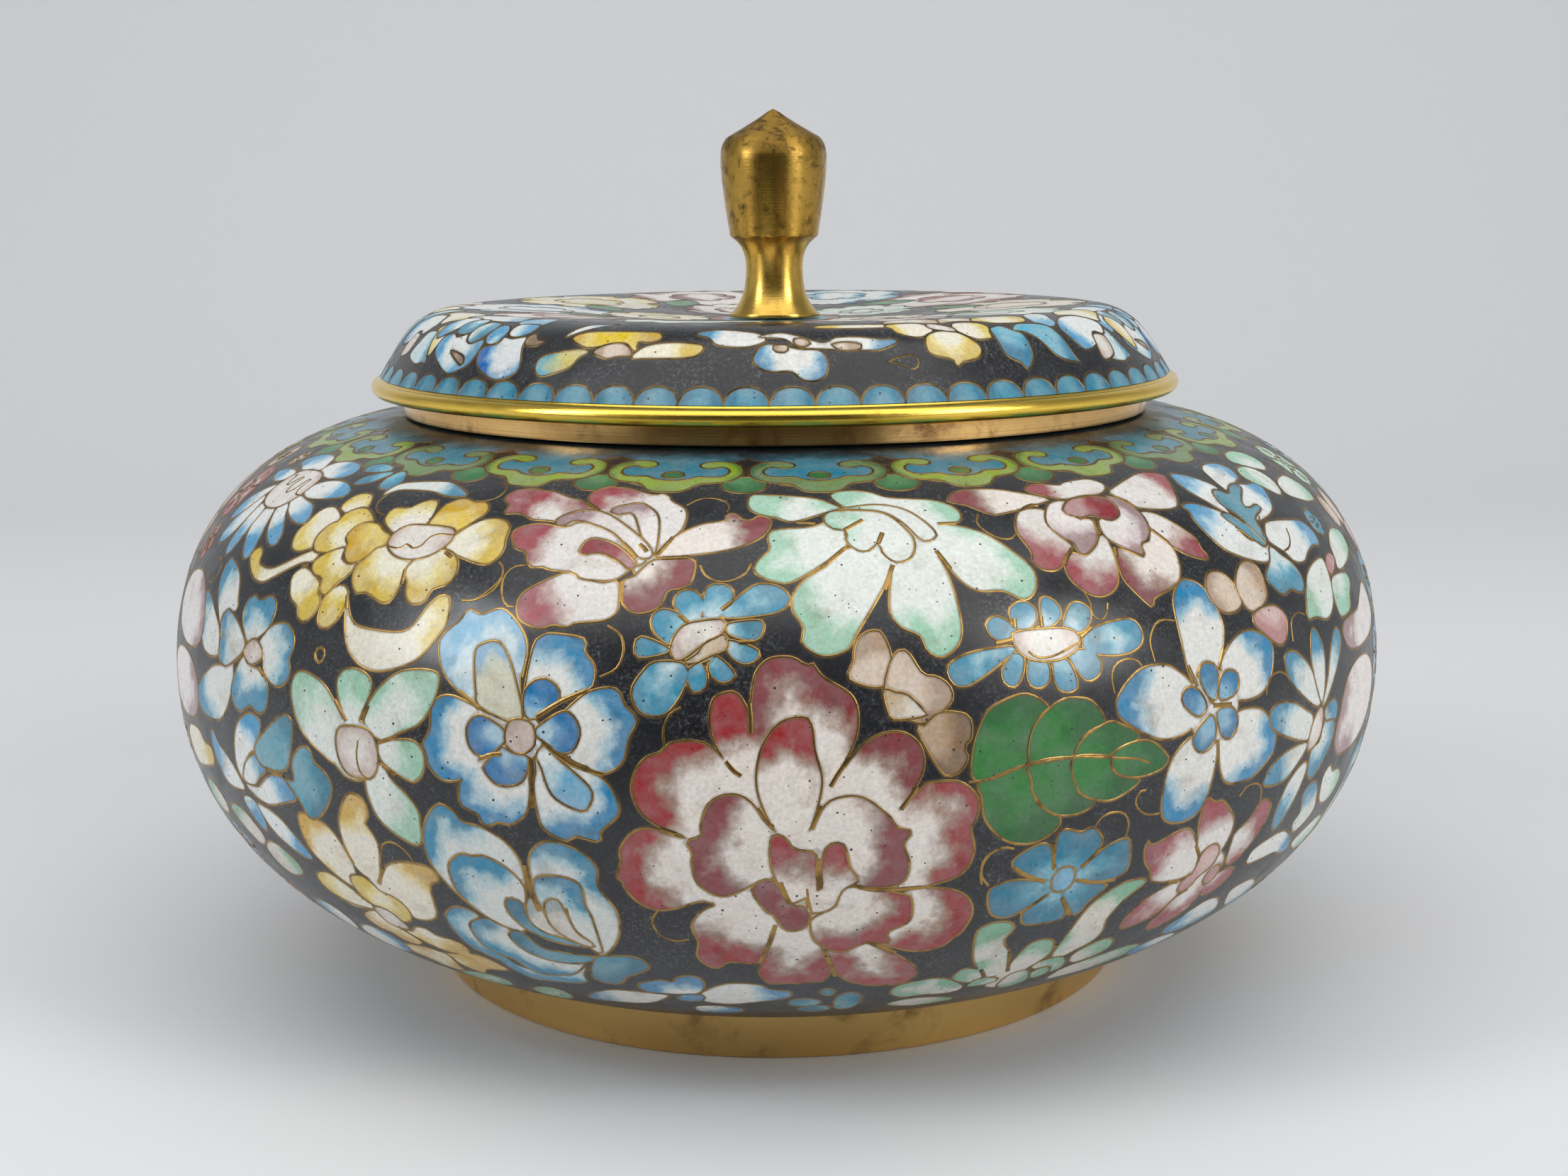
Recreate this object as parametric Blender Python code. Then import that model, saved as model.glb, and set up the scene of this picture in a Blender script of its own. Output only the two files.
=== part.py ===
# Lidded jar of cloisonne enamel on copper, about 160 mm wide and 113 mm high.
# A flattened round bowl stands on a brass foot ring. A brass collar lines its mouth,
# and the domed lid rests on it with a gilt bead ring whose spigot drops into the mouth.
# A turned brass finial stands on the lid. All pieces turn about the Z axis.
# The origin is at the middle of the foot ring's underside. Sizes are in metres.

import math

import bmesh
import bpy

for oldObject in list(bpy.data.objects):
    bpy.data.objects.remove(oldObject, do_unlink=True)

# Clearances between pieces that touch.
seatGap = 0.0003
spigotPlay = 0.0005

# Foot ring.
footHeight = 0.0060
footRadius = 0.0470
footFlare = 0.0016
footWall = 0.0024
footEdgeRound = 0.0005

# Bowl. The underside is a flat disc a little wider than the foot ring.
baseLedge = 0.0006
bellyRadius = 0.0800
bellyRise = 0.0362
shoulderRise = 0.0678
shellWall = 0.0022
baseSlope = math.radians(19.0)
shoulderSlope = math.radians(6.5)
baseFullness = 0.66
bellyFullnessBelow = 0.48
bellyFullnessAbove = 0.57
shoulderFullness = 0.67

# Collar round the mouth.
collarRadius = 0.0497
collarWall = 0.0012
collarHeight = 0.0022
collarLip = 0.0009

# Gilt bead ring under the lid, and the spigot that centres it in the mouth.
beadOverhang = 0.0041
beadThickness = 0.0021
spigotDepth = 0.0042
spigotWall = 0.0010

# Lid shell.
lidSetBack = 0.0012
lidWall = 0.0020
lidRise = 0.0085
lidShoulderRun = 0.0106
lidSideLean = math.radians(33.0)
lidSideLength = 0.0054
lidShoulderFullness = 0.60
lidDish = 0.0018
lidSeatRadius = 0.0072

# Finial: a flared foot, a waisted neck, a tapering bulb and a low cone on top.
finialFootRadius = 0.0062
finialNeckRadius = 0.0038
finialNeckRise = 0.0064
finialBulbRise = 0.0106
finialBulbBase = 0.0059
finialBulbRadius = 0.0071
finialBulbHeight = 0.0104
finialConeFoot = 0.0062
finialConeRise = 0.0129
finialHeight = 0.0272
finialTipRound = 0.0007

bigSegments = 48
finialSegments = 24

# Heights and radii that follow from the sizes above.
bowlBase = footHeight + seatGap
bellyHeight = bowlBase + bellyRise
shoulderHeight = bowlBase + shoulderRise
footTopRadius = footRadius + footFlare
baseRadius = footTopRadius + baseLedge
neckRadius = collarRadius - collarWall - seatGap
mouthRadius = neckRadius - shellWall
collarBase = shoulderHeight + seatGap
collarTop = collarBase + collarHeight
neckTop = collarTop - collarLip - seatGap
beadBase = collarTop + seatGap
beadTop = beadBase + beadThickness
beadRadius = collarRadius + beadOverhang
spigotRadius = mouthRadius - spigotPlay
lidBase = beadTop + seatGap
lidRadius = beadRadius - lidSetBack
lidCrestHeight = lidBase + lidRise
lidCrestRadius = lidRadius - lidShoulderRun
lidSeatHeight = lidCrestHeight - lidDish
finialBase = lidSeatHeight + seatGap


def bezier(start, startHandle, endHandle, end, steps):
    points = []
    for i in range(steps + 1):
        t = i / steps
        weights = ((1 - t) ** 3, 3 * (1 - t) ** 2 * t, 3 * (1 - t) * t * t, t ** 3)
        corners = (start, startHandle, endHandle, end)
        points.append(tuple(sum(w * c[k] for w, c in zip(weights, corners)) for k in (0, 1)))
    return points


def arc(centre, radius, startAngle, endAngle, steps):
    points = []
    for i in range(steps + 1):
        angle = math.radians(startAngle + (endAngle - startAngle) * i / steps)
        points.append((centre[0] + radius * math.cos(angle), centre[1] + radius * math.sin(angle)))
    return points


# Moves each point of an outline sideways, to its left as the outline runs.
def offset(points, distance):
    moved = []
    for i, point in enumerate(points):
        before = points[max(i - 1, 0)]
        after = points[min(i + 1, len(points) - 1)]
        runR = after[0] - before[0]
        runZ = after[1] - before[1]
        length = math.hypot(runR, runZ)
        moved.append((point[0] - distance * runZ / length, point[1] + distance * runR / length))
    return moved


def brassMaterial(name, color, roughness):
    material = bpy.data.materials.new(name)
    material.use_nodes = True
    shader = material.node_tree.nodes["Principled BSDF"]
    shader.inputs["Base Color"].default_value = (*color, 1.0)
    shader.inputs["Metallic"].default_value = 1.0
    shader.inputs["Roughness"].default_value = roughness
    return material


def enamelMaterial(name, color, roughness):
    material = bpy.data.materials.new(name)
    material.use_nodes = True
    shader = material.node_tree.nodes["Principled BSDF"]
    shader.inputs["Base Color"].default_value = (*color, 1.0)
    shader.inputs["Metallic"].default_value = 0.0
    shader.inputs["Roughness"].default_value = roughness
    return material


# Turns a closed outline of (radius, height) points about Z. The outline runs up the
# piece's outer side and down its inner side, so that its faces point out.
def turnedPiece(name, outline, segments, material):
    mesh = bpy.data.meshes.new(name)
    bm = bmesh.new()
    rings = []
    for radius, height in outline:
        if radius < 1e-6:
            rings.append([bm.verts.new((0.0, 0.0, height))])
            continue
        ring = []
        for i in range(segments):
            angle = 2 * math.pi * i / segments
            ring.append(bm.verts.new((radius * math.cos(angle), radius * math.sin(angle), height)))
        rings.append(ring)
    for lower, upper in zip(rings, rings[1:] + rings[:1]):
        for i in range(segments):
            j = (i + 1) % segments
            if len(lower) == 1 and len(upper) == 1:
                continue
            if len(lower) == 1:
                bm.faces.new((lower[0], upper[j], upper[i]))
            elif len(upper) == 1:
                bm.faces.new((lower[i], lower[j], upper[0]))
            else:
                bm.faces.new((lower[i], lower[j], upper[j], upper[i]))
    bm.to_mesh(mesh)
    bm.free()
    mesh.materials.append(material)
    mesh.shade_smooth()
    mesh.set_sharp_from_angle(angle=math.radians(35))
    piece = bpy.data.objects.new(name, mesh)
    bpy.context.scene.collection.objects.link(piece)
    return piece


def makeFootRing():
    low = footEdgeRound
    innerBottom = footRadius - footWall
    outline = arc((footRadius - low, low), low, -90, 0, 2)
    outline += [(footTopRadius, footHeight), (footTopRadius - footWall, footHeight)]
    outline += [(innerBottom, low), (innerBottom + low, 0.0)]
    brass = brassMaterial("satin_brass", (0.50, 0.32, 0.11), 0.38)
    return turnedPiece("foot_ring", outline, bigSegments, brass)


def makeBowl():
    baseRun = (bellyRadius - baseRadius) * baseFullness
    lowerHandle = (baseRadius + baseRun * math.cos(baseSlope), bowlBase + baseRun * math.sin(baseSlope))
    bellyBelow = (bellyRadius, bellyHeight - bellyRise * bellyFullnessBelow)
    lower = bezier((baseRadius, bowlBase), lowerHandle, bellyBelow, (bellyRadius, bellyHeight), 8)
    upperRise = shoulderHeight - bellyHeight
    bellyAbove = (bellyRadius, bellyHeight + upperRise * bellyFullnessAbove)
    topRun = (bellyRadius - collarRadius) * shoulderFullness
    shoulderHandle = (collarRadius + topRun * math.cos(shoulderSlope),
                      shoulderHeight - topRun * math.sin(shoulderSlope))
    upper = bezier((bellyRadius, bellyHeight), bellyAbove, shoulderHandle,
                   (collarRadius, shoulderHeight), 8)
    outside = lower + upper[1:]
    inside = offset(outside, shellWall)
    floorHeight = bowlBase + shellWall
    inside = [point for point in inside if point[1] > floorHeight * 1.01]
    floorEdge = baseRadius - shellWall
    outline = [(0.0, bowlBase)] + outside
    outline += [(neckRadius, shoulderHeight), (neckRadius, neckTop), (mouthRadius, neckTop)]
    outline += [(mouthRadius, shoulderHeight - shellWall)]
    outline += inside[::-1] + [(floorEdge, floorHeight), (0.0, floorHeight)]
    enamel = enamelMaterial("bowl_enamel", (0.05, 0.06, 0.07), 0.22)
    return turnedPiece("jar_body", outline, bigSegments, enamel)


def makeCollar():
    innerRadius = collarRadius - collarWall
    outline = [(innerRadius, collarBase), (collarRadius, collarBase), (collarRadius, collarTop)]
    outline += [(mouthRadius, collarTop), (mouthRadius, collarTop - collarLip)]
    outline += [(innerRadius, collarTop - collarLip)]
    gilt = brassMaterial("rosy_gilt", (0.72, 0.47, 0.24), 0.30)
    return turnedPiece("neck_collar", outline, bigSegments, gilt)


def makeLidRim():
    half = beadThickness / 2
    spigotInner = spigotRadius - spigotWall
    outline = [(spigotInner, beadBase - spigotDepth), (spigotRadius, beadBase - spigotDepth)]
    outline += [(spigotRadius, beadBase)]
    outline += arc((beadRadius - half, beadBase + half), half, -90, 90, 6)
    outline += [(spigotInner, beadTop)]
    gilt = brassMaterial("bright_gilt", (0.83, 0.58, 0.16), 0.20)
    return turnedPiece("lid_rim", outline, bigSegments, gilt)


def makeLid():
    sideTop = (lidRadius - lidSideLength * math.sin(lidSideLean),
               lidBase + lidSideLength * math.cos(lidSideLean))
    crestHandle = (lidCrestRadius + lidShoulderRun * lidShoulderFullness, lidCrestHeight)
    crest = (lidCrestRadius, lidCrestHeight)
    side = bezier((lidRadius, lidBase), sideTop, crestHandle, crest, 8)
    dishRun = (lidCrestRadius - lidSeatRadius) / 3
    dish = bezier(crest, (lidCrestRadius - dishRun, lidCrestHeight),
                  (lidSeatRadius + dishRun, lidSeatHeight), (lidSeatRadius, lidSeatHeight), 5)
    outside = side + dish[1:]
    inside = offset(outside, lidWall)
    inside = [point for point in inside if point[1] > lidBase * 1.002]
    outline = [(lidRadius - lidWall, lidBase)] + outside + [(0.0, lidSeatHeight)]
    outline += [(0.0, lidSeatHeight - lidWall)] + inside[::-1]
    enamel = enamelMaterial("lid_enamel", (0.05, 0.06, 0.07), 0.22)
    return turnedPiece("lid", outline, bigSegments, enamel)


def makeFinial():
    base = finialBase
    neck = (finialNeckRadius, base + finialNeckRise)
    flare = bezier((finialFootRadius, base), (finialNeckRadius * 1.18, base + finialNeckRise * 0.25),
                   (finialNeckRadius, base + finialNeckRise * 0.5), neck, 5)
    coveTop = (finialBulbBase, base + finialBulbRise)
    coveRise = finialBulbRise - finialNeckRise
    cove = bezier(neck, (finialNeckRadius, neck[1] + coveRise * 0.45),
                  (finialNeckRadius * 1.12, neck[1] + coveRise * 0.75), coveTop, 4)
    bulbTop = base + finialBulbRise + finialBulbHeight
    coneFoot = (finialConeFoot, base + finialBulbRise + finialConeRise)
    bulb = bezier(coveTop, (finialBulbRadius * 0.92, coveTop[1] + finialBulbHeight * 0.4),
                  (finialBulbRadius, bulbTop - finialBulbHeight * 0.3), (finialBulbRadius, bulbTop), 4)
    shoulderRise = coneFoot[1] - bulbTop
    shoulder = bezier((finialBulbRadius, bulbTop), (finialBulbRadius, bulbTop + shoulderRise * 0.6),
                      (finialConeFoot * 1.05, coneFoot[1] - shoulderRise * 0.15), coneFoot, 3)
    tipHeight = base + finialHeight
    tipSide = (finialTipRound, tipHeight - finialTipRound * 0.5)
    cone = bezier(coneFoot, (finialConeFoot * 0.66, coneFoot[1] + (tipHeight - coneFoot[1]) * 0.32),
                  (finialConeFoot * 0.3, coneFoot[1] + (tipHeight - coneFoot[1]) * 0.66), tipSide, 3)
    outline = [(0.0, base)] + flare + cove[1:] + bulb[1:] + shoulder[1:] + cone[1:]
    outline += [(0.0, tipHeight)]
    brass = brassMaterial("aged_brass", (0.62, 0.42, 0.12), 0.32)
    return turnedPiece("finial", outline, finialSegments, brass)


makeFootRing()
makeBowl()
makeCollar()
makeLidRim()
makeLid()
makeFinial()
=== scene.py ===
import math
import random
from collections import namedtuple

import bmesh
import bpy
import numpy as np
from mathutils import Matrix, Vector, geometry, kdtree


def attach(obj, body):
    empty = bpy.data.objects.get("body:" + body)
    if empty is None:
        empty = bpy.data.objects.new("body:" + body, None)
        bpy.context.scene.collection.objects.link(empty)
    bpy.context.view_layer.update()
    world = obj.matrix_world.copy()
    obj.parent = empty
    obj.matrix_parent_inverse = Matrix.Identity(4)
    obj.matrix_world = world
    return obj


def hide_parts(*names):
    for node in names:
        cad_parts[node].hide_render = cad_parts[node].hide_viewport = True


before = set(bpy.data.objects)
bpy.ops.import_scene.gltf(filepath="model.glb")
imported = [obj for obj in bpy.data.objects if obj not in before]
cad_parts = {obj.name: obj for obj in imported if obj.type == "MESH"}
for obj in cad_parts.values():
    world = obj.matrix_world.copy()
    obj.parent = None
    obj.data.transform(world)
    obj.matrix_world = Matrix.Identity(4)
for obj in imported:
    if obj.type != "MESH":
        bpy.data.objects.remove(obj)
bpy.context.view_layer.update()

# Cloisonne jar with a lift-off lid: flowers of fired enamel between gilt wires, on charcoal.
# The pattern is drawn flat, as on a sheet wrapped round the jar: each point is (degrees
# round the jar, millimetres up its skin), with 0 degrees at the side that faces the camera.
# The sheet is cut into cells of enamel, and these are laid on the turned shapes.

mm = 0.001
tiny = 0.01 * mm


def report(*words):
    print("scene:", *words)


# Colours are given as sRGB hex and used as linear values.
def hexColor(text):
    channels = [int(text[i:i + 2], 16) / 255 for i in (0, 2, 4)]
    return tuple(c / 12.92 if c <= 0.04045 else ((c + 0.055) / 1.055) ** 2.4 for c in channels)


def opaque(text):
    return (*hexColor(text), 1)


def addObject(name, data):
    thing = bpy.data.objects.new(name, data)
    bpy.context.scene.collection.objects.link(thing)
    return thing


# A visible piece of the jar, hung under the jar's root body.
def addPiece(name, mesh):
    piece = addObject(name, mesh)
    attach(piece, "root")
    return piece


# Nodes

def addNode(tree, kind, settings=None, inputs=None):
    node = tree.nodes.new(kind)
    for key, value in (settings or {}).items():
        setattr(node, key, value)
    for key, value in (inputs or {}).items():
        if isinstance(value, bpy.types.NodeSocket):
            tree.links.new(value, node.inputs[key])
        else:
            node.inputs[key].default_value = value
    return node


# The next five each add one node and return the socket that holds its result.
def noise(tree, place, size, detail, roughness, distortion=0.0):
    return addNode(tree, "ShaderNodeTexNoise", inputs={
        "Vector": place, "Scale": 1 / size, "Detail": detail, "Roughness": roughness,
        "Distortion": distortion}).outputs["Fac"]


def stretch(tree, value, low, high, toLow=0.0, toHigh=1.0, soft=False):
    return addNode(tree, "ShaderNodeMapRange", {"interpolation_type": "SMOOTHSTEP" if soft else "LINEAR"}, {
        "Value": value, "From Min": low, "From Max": high,
        "To Min": toLow, "To Max": toHigh}).outputs["Result"]


def reckon(tree, operation, *values):
    return addNode(tree, "ShaderNodeMath", {"operation": operation}, dict(enumerate(values))).outputs[0]


def mixed(tree, share, first, second, way="MIX"):
    return addNode(tree, "ShaderNodeMix", {"data_type": "RGBA", "blend_type": way},
                   {0: share, 6: first, 7: second}).outputs[2]


def upFrom(tree, place):
    return addNode(tree, "ShaderNodeSeparateXYZ", inputs={"Vector": place}).outputs[2]


def bumpy(tree, height, strength, distance):
    bump = addNode(tree, "ShaderNodeBump", inputs={
        "Height": height, "Strength": strength, "Distance": distance})
    tree.links.new(bump.outputs["Normal"], tree.nodes["Principled BSDF"].inputs["Normal"])


def newMaterial(name):
    material = bpy.data.materials.new(name)
    material.use_nodes = True
    tree = material.node_tree
    return material, tree, tree.nodes["Principled BSDF"].inputs


# Camera, floor and lights. Lengths are in metres.

studio = {
    "distance": 0.2853,      # from the jar's axis to the lens
    "height": 0.1023,
    "sideways": 0.0010,
    "lookDown": 10.6,        # degrees below level
    "roll": -0.4,            # the photographed jar stands a little askew
    "pixelsWide": 2212,
    "focalPixels": 2965,
    "paper": "E3E4E6",
    "room": "D8DCE0",
    "paleWay": (0.09, 0.996, 0.0),      # away from the room's dark end
    "card": "4A443E",
}

# a paper sweep: flat under the jar, curving up far behind it
sweep = {"width": 3.0, "front": -0.45, "back": 0.75, "rise": 1.5, "bend": 0.35, "steps": 12}

# the corners of a dark card on the paper, out of view, which the metal mirrors in front
cardCorners = [(-0.9, -0.7, 0.001), (0.42, -0.7, 0.001), (0.12, -0.19, 0.001), (-0.9, -0.19, 0.001)]

# place, the height on the axis that it is aimed at, width and height, watts, colour
lights = {
    "overhead": ((0.0, -0.3, 0.9), 0.03, (1.3, 0.9), 5.0, (1.0, 0.99, 0.97)),
    "left window": ((-0.81, -0.42, 0.56), 0.05, (0.26, 0.46), 3.5, (0.96, 0.98, 1.0)),
    "right window": ((0.74, -0.53, 0.5), 0.05, (0.27, 0.46), 3.8, (1.0, 0.99, 0.97)),
}


def makeCamera():
    data = bpy.data.cameras.new("camera")
    data.sensor_width = 36.0
    data.lens = data.sensor_width * studio["focalPixels"] / studio["pixelsWide"]
    data.clip_start = 0.01
    camera = addObject("camera", data)
    camera.location = (studio["sideways"], -studio["distance"], studio["height"])
    down = math.radians(studio["lookDown"])
    look = Vector((0.0, math.cos(down), -math.sin(down)))
    turn = look.to_track_quat("-Z", "Y").to_matrix().to_4x4()
    camera.rotation_euler = (turn @ Matrix.Rotation(math.radians(studio["roll"]), 4, "Z")).to_euler()
    bpy.context.scene.camera = camera


# Matt paper or card in one plain colour.
def makePaper(name, spots, faces, finish, color):
    material, _, inputs = newMaterial(finish)
    inputs["Base Color"].default_value = opaque(color)
    inputs["Roughness"].default_value = 0.9
    mesh = bpy.data.meshes.new(name)
    mesh.from_pydata(spots, [], faces)
    mesh.materials.append(material)
    return addObject(name, mesh)


def makeFloor():
    back, bend = sweep["back"], sweep["bend"]
    line = [(sweep["front"], 0.0), (back - bend, 0.0)]
    for i in range(1, sweep["steps"] + 1):
        angle = math.radians(90 * i / sweep["steps"])
        line.append((back - bend + bend * math.sin(angle), bend - bend * math.cos(angle)))
    line.append((back, sweep["rise"]))
    spots = [(x, y, z) for y, z in line for x in (-sweep["width"] / 2, sweep["width"] / 2)]
    faces = [(i, i + 1, i + 3, i + 2) for i in range(0, 2 * len(line) - 2, 2)]
    floor = makePaper("paper_sweep", spots, faces, "matt white paper", studio["paper"])
    floor.data.shade_smooth()
    flag = makePaper("dark_card", cardCorners, [(0, 1, 2, 3)], "dark card", studio["card"])


def makeLight(name, place, aim, size, power, color):
    data = bpy.data.lights.new(name, "AREA")
    data.shape = "RECTANGLE"
    data.size, data.size_y = size
    data.energy = power
    data.color = color
    light = addObject(name, data)
    light.location = place
    light.rotation_euler = (Vector((0, 0, aim)) - Vector(place)).to_track_quat("-Z", "Y").to_euler()


# The room is pale all round, palest level with the jar, and dark behind the camera.
def makeRoom():
    world = bpy.data.worlds.new("soft room")
    bpy.context.scene.world = world
    world.use_nodes = True
    tree = world.node_tree
    inputs = tree.nodes["Background"].inputs
    place = addNode(tree, "ShaderNodeTexCoord").outputs["Generated"]
    facing = addNode(tree, "ShaderNodeVectorMath", {"operation": "DOT_PRODUCT"},
                     {0: place, 1: studio["paleWay"]})
    back = stretch(tree, facing.outputs["Value"], -0.86, -0.7, 0.03, 0.39, soft=True)
    wall = stretch(tree, reckon(tree, "ABSOLUTE", upFrom(tree, place)), 0.15, 0.4, 1.8, 0.95, soft=True)
    tree.links.new(reckon(tree, "MULTIPLY", back, wall), inputs["Strength"])
    inputs["Color"].default_value = opaque(studio["room"])


# Outlines of the turned pieces, read from the solids

# Returns the section of a solid at 0 degrees as one run of (radius, height) points that
# starts at the axis or at the bottom outside, and goes up the outer side first.
def sectionOf(node):
    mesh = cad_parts[node].data
    spots = {}
    for vertex in mesh.vertices:
        x, y, z = vertex.co
        if abs(y) < 1e-6 and x > -1e-6:
            spots[vertex.index] = (round(x, 6), round(z, 6))
    beside = {}
    for polygon in mesh.polygons:
        corners = list(polygon.vertices)
        for a, b in zip(corners, corners[1:] + corners[:1]):
            if a in spots and b in spots and spots[a] != spots[b]:
                beside.setdefault(spots[a], set()).add(spots[b])
                beside.setdefault(spots[b], set()).add(spots[a])
    start = min(beside, key=lambda spot: (spot[1], -spot[0]))
    path = [start]
    while True:
        ahead = [spot for spot in beside[path[-1]] if spot not in path]
        if not ahead:
            break
        path.append(max(ahead) if len(path) == 1 else min(ahead, key=lambda s: math.dist(s, path[-1])))
    other = []
    while True:
        ahead = [spot for spot in beside[other[-1] if other else start] if spot not in path + other]
        if not ahead:
            break
        other.append(ahead[0])
    return other[::-1] + path


def lowest(section):
    return section.index(min(section, key=lambda spot: (spot[1], -spot[0])))


# A smooth line through points, by Catmull-Rom.
def smoothLine(points, stepsEach, closed=False):
    points = [np.array(p, float) for p in points]
    count = len(points)
    result = []
    for i in range(count if closed else count - 1):
        if closed:
            p0, p1, p2, p3 = (points[(i + k) % count] for k in (-1, 0, 1, 2))
        else:
            p1, p2 = points[i], points[i + 1]
            p0 = points[i - 1] if i else 2 * p1 - p2
            p3 = points[i + 2] if i + 2 < count else 2 * p2 - p1
        for k in range(stepsEach):
            t = k / stepsEach
            result.append(0.5 * (2 * p1 + (p2 - p0) * t + (2 * p0 - 5 * p1 + 4 * p2 - p3) * t * t
                                 + (3 * p1 - p0 - 3 * p2 + p3) * t ** 3))
    if not closed:
        result.append(points[-1])
    return np.array(result)


def turnAngle(a, b, c):
    first = math.atan2(b[1] - a[1], b[0] - a[0])
    second = math.atan2(c[1] - b[1], c[0] - b[0])
    return abs((second - first + math.pi) % (2 * math.pi) - math.pi)


sharpTurn = 0.6      # radians; a corner, where less is part of a curve


# The part of a section that runs smoothly on from one of its points.
def smoothRun(section, start):
    run = [section[start]]
    for i in range(start + 1, len(section)):
        run.append(section[i])
        if i + 1 < len(section) and turnAngle(section[i - 1], section[i], section[i + 1]) > sharpTurn:
            break
    return run


# A skin is the outer outline of a turned piece with its length measured from one end.
class Skin:
    def __init__(self, outline):
        self.path = smoothLine(outline, 8)
        steps = np.hypot(*np.diff(self.path, axis=0).T)
        self.along = np.concatenate([[0], np.cumsum(steps)]) / mm
        self.length = self.along[-1]
        slope = np.gradient(self.path, axis=0)
        slope /= np.hypot(slope[:, 0], slope[:, 1])[:, None]
        self.out = np.stack([slope[:, 1], -slope[:, 0]], -1)

    # Places flat points on the skin. lift is in metres; returns positions and normals.
    def place(self, flat, lift=0.0):
        angle = np.radians(flat[:, 0])
        radius, height, outR, outZ = (np.interp(flat[:, 1], self.along, values)
                                      for values in (*self.path.T, *self.out.T))
        around = np.stack([np.sin(angle), -np.cos(angle)], -1)
        normal = np.concatenate([around * outR[:, None], outZ[:, None]], -1)
        normal /= np.linalg.norm(normal, axis=1)[:, None]
        spot = np.concatenate([around * radius[:, None], height[:, None]], -1)
        return spot + normal * lift, normal


# Drawing the pattern

# Each enamel: the colour inside the petal, the shade it passes through, the colour along
# its outer edge, and how many millimetres the change takes.
enamels = {
    "charcoal": ("26272B", "26272B", "26272B", 4.0),
    "redPeony": ("F0E6DC", "AC8F80", "A2383A", 5.2),
    "rosePeony": ("E8E2DC", "C3A49D", "A34C52", 5.0),
    "dustyPeony": ("EEE4DA", "AA9084", "8E474A", 5.0),
    "deepRed": ("B98F8C", "9C4A4C", "8E2B31", 5.0),
    "paleRose": ("EDE6E2", "DACBC8", "A98A8B", 4.5),
    "mint": ("E6ECE4", "CDE4D3", "A3D2B6", 4.6),
    "blueWhite": ("EAEAE4", "A6CBDA", "418DB9", 4.2),
    "azureWhite": ("E9EDEA", "A8D2E4", "4F9ECB", 4.4),
    "deepBlue": ("A4CADC", "5096C4", "337CB4", 3.6),
    "paleBlue": ("E6ECEC", "C2DCE4", "78B4D4", 6.0),
    "lotusWhite": ("DED8CE", "CFCBC0", "A9B4B2", 2.5),
    "slateTurquoise": ("5E9DB0", "478BA4", "3A7A94", 3.5),
    "slateBlue": ("86B6D0", "4F93BC", "3A80AE", 2.5),
    "flatBlue": ("86C4D4", "4298B4", "2E7F9C", 6.0),
    "yellowBlue": ("D9D6BE", "C5CDC0", "8DB4D0", 3.0),
    "mintBeige": ("DFD9CD", "C6D2C0", "86B899", 4.4),
    "skyBlue": ("CFE3E6", "7DB9CC", "4796B4", 4.0),
    "brightTurquoise": ("6DB9D0", "4A9FC0", "3685A8", 4.0),
    "turquoise": ("6AA9B8", "4C98AE", "38829A", 4.0),
    "turquoiseWhite": ("E0E4DF", "A4CAD4", "3C8FB2", 4.5),
    "yellow": ("F3ECD2", "EEDD92", "DDBE46", 4.6),
    "amber": ("F1E9D4", "E9D391", "D8AE4C", 4.2),
    "yellowTip": ("DCCB78", "B9C99A", "62B3C8", 5.0),
    "deepWhite": ("E6E9EA", "82B4D8", "2E70B8", 4.6),
    "paleYellow": ("F1EAD6", "EFE3AE", "E3CB5C", 3.4),
    "yolk": ("EBCB3F", "E3BE2C", "D2A81F", 4.0),
    "cream": ("E6DCCB", "D9C7AC", "C9B08C", 4.0),
    "ivory": ("E9E3DA", "E2D6CB", "D3BFB4", 2.5),
    "beige": ("DECAB6", "D0B8A0", "B69A80", 3.0),
    "bronzed": ("C2A78B", "B0906F", "8F7458", 4.0),
    "rosy": ("D9B7B0", "CDA09B", "BC8A88", 3.5),
    "copper": ("8E3B24", "8E3B24", "8E3B24", 2.0),
    "leaf": ("39833F", "347A3C", "2B6B35", 5.0),
    "darkLeaf": ("3F8A50", "3A7E49", "2F6E3E", 3.0),
    "lime": ("8CA63A", "7F9838", "5E8038", 1.6),
    "oldLime": ("6E8C52", "5F7E52", "4A6C4C", 1.6),
    "band": ("328299", "2A6A82", "255163", 7.0),
    "scallop": ("5A9CB2", "468EA8", "387C98", 3.0),
}

# The flat sheet, in millimetres
sheet = {
    "perDegree": 1.361,      # of the way round the jar, near where it is widest
    "outlineStep": 0.7,      # between the points of a cell's outline
    "gridStep": 1.7,         # between the points inside cells
    "rowStep": 0.87,         # between rows of the grid, as a share of its step
    "besideWire": 0.45,      # how far from an outline the extra points beside it lie
    "edgePoints": 290,       # along the sheet's lower edge and its upper one
    "spur": 1.9,             # thickness of a short doubled wire, as a share of the others
}
square = np.array((sheet["perDegree"], 1.0))
halfTurn = 180.0


# An outline filled with one enamel. base is where the petal grows from, and cells of one
# group have no wire between them.
Cell = namedtuple("Cell", "outline enamel base group")


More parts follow.
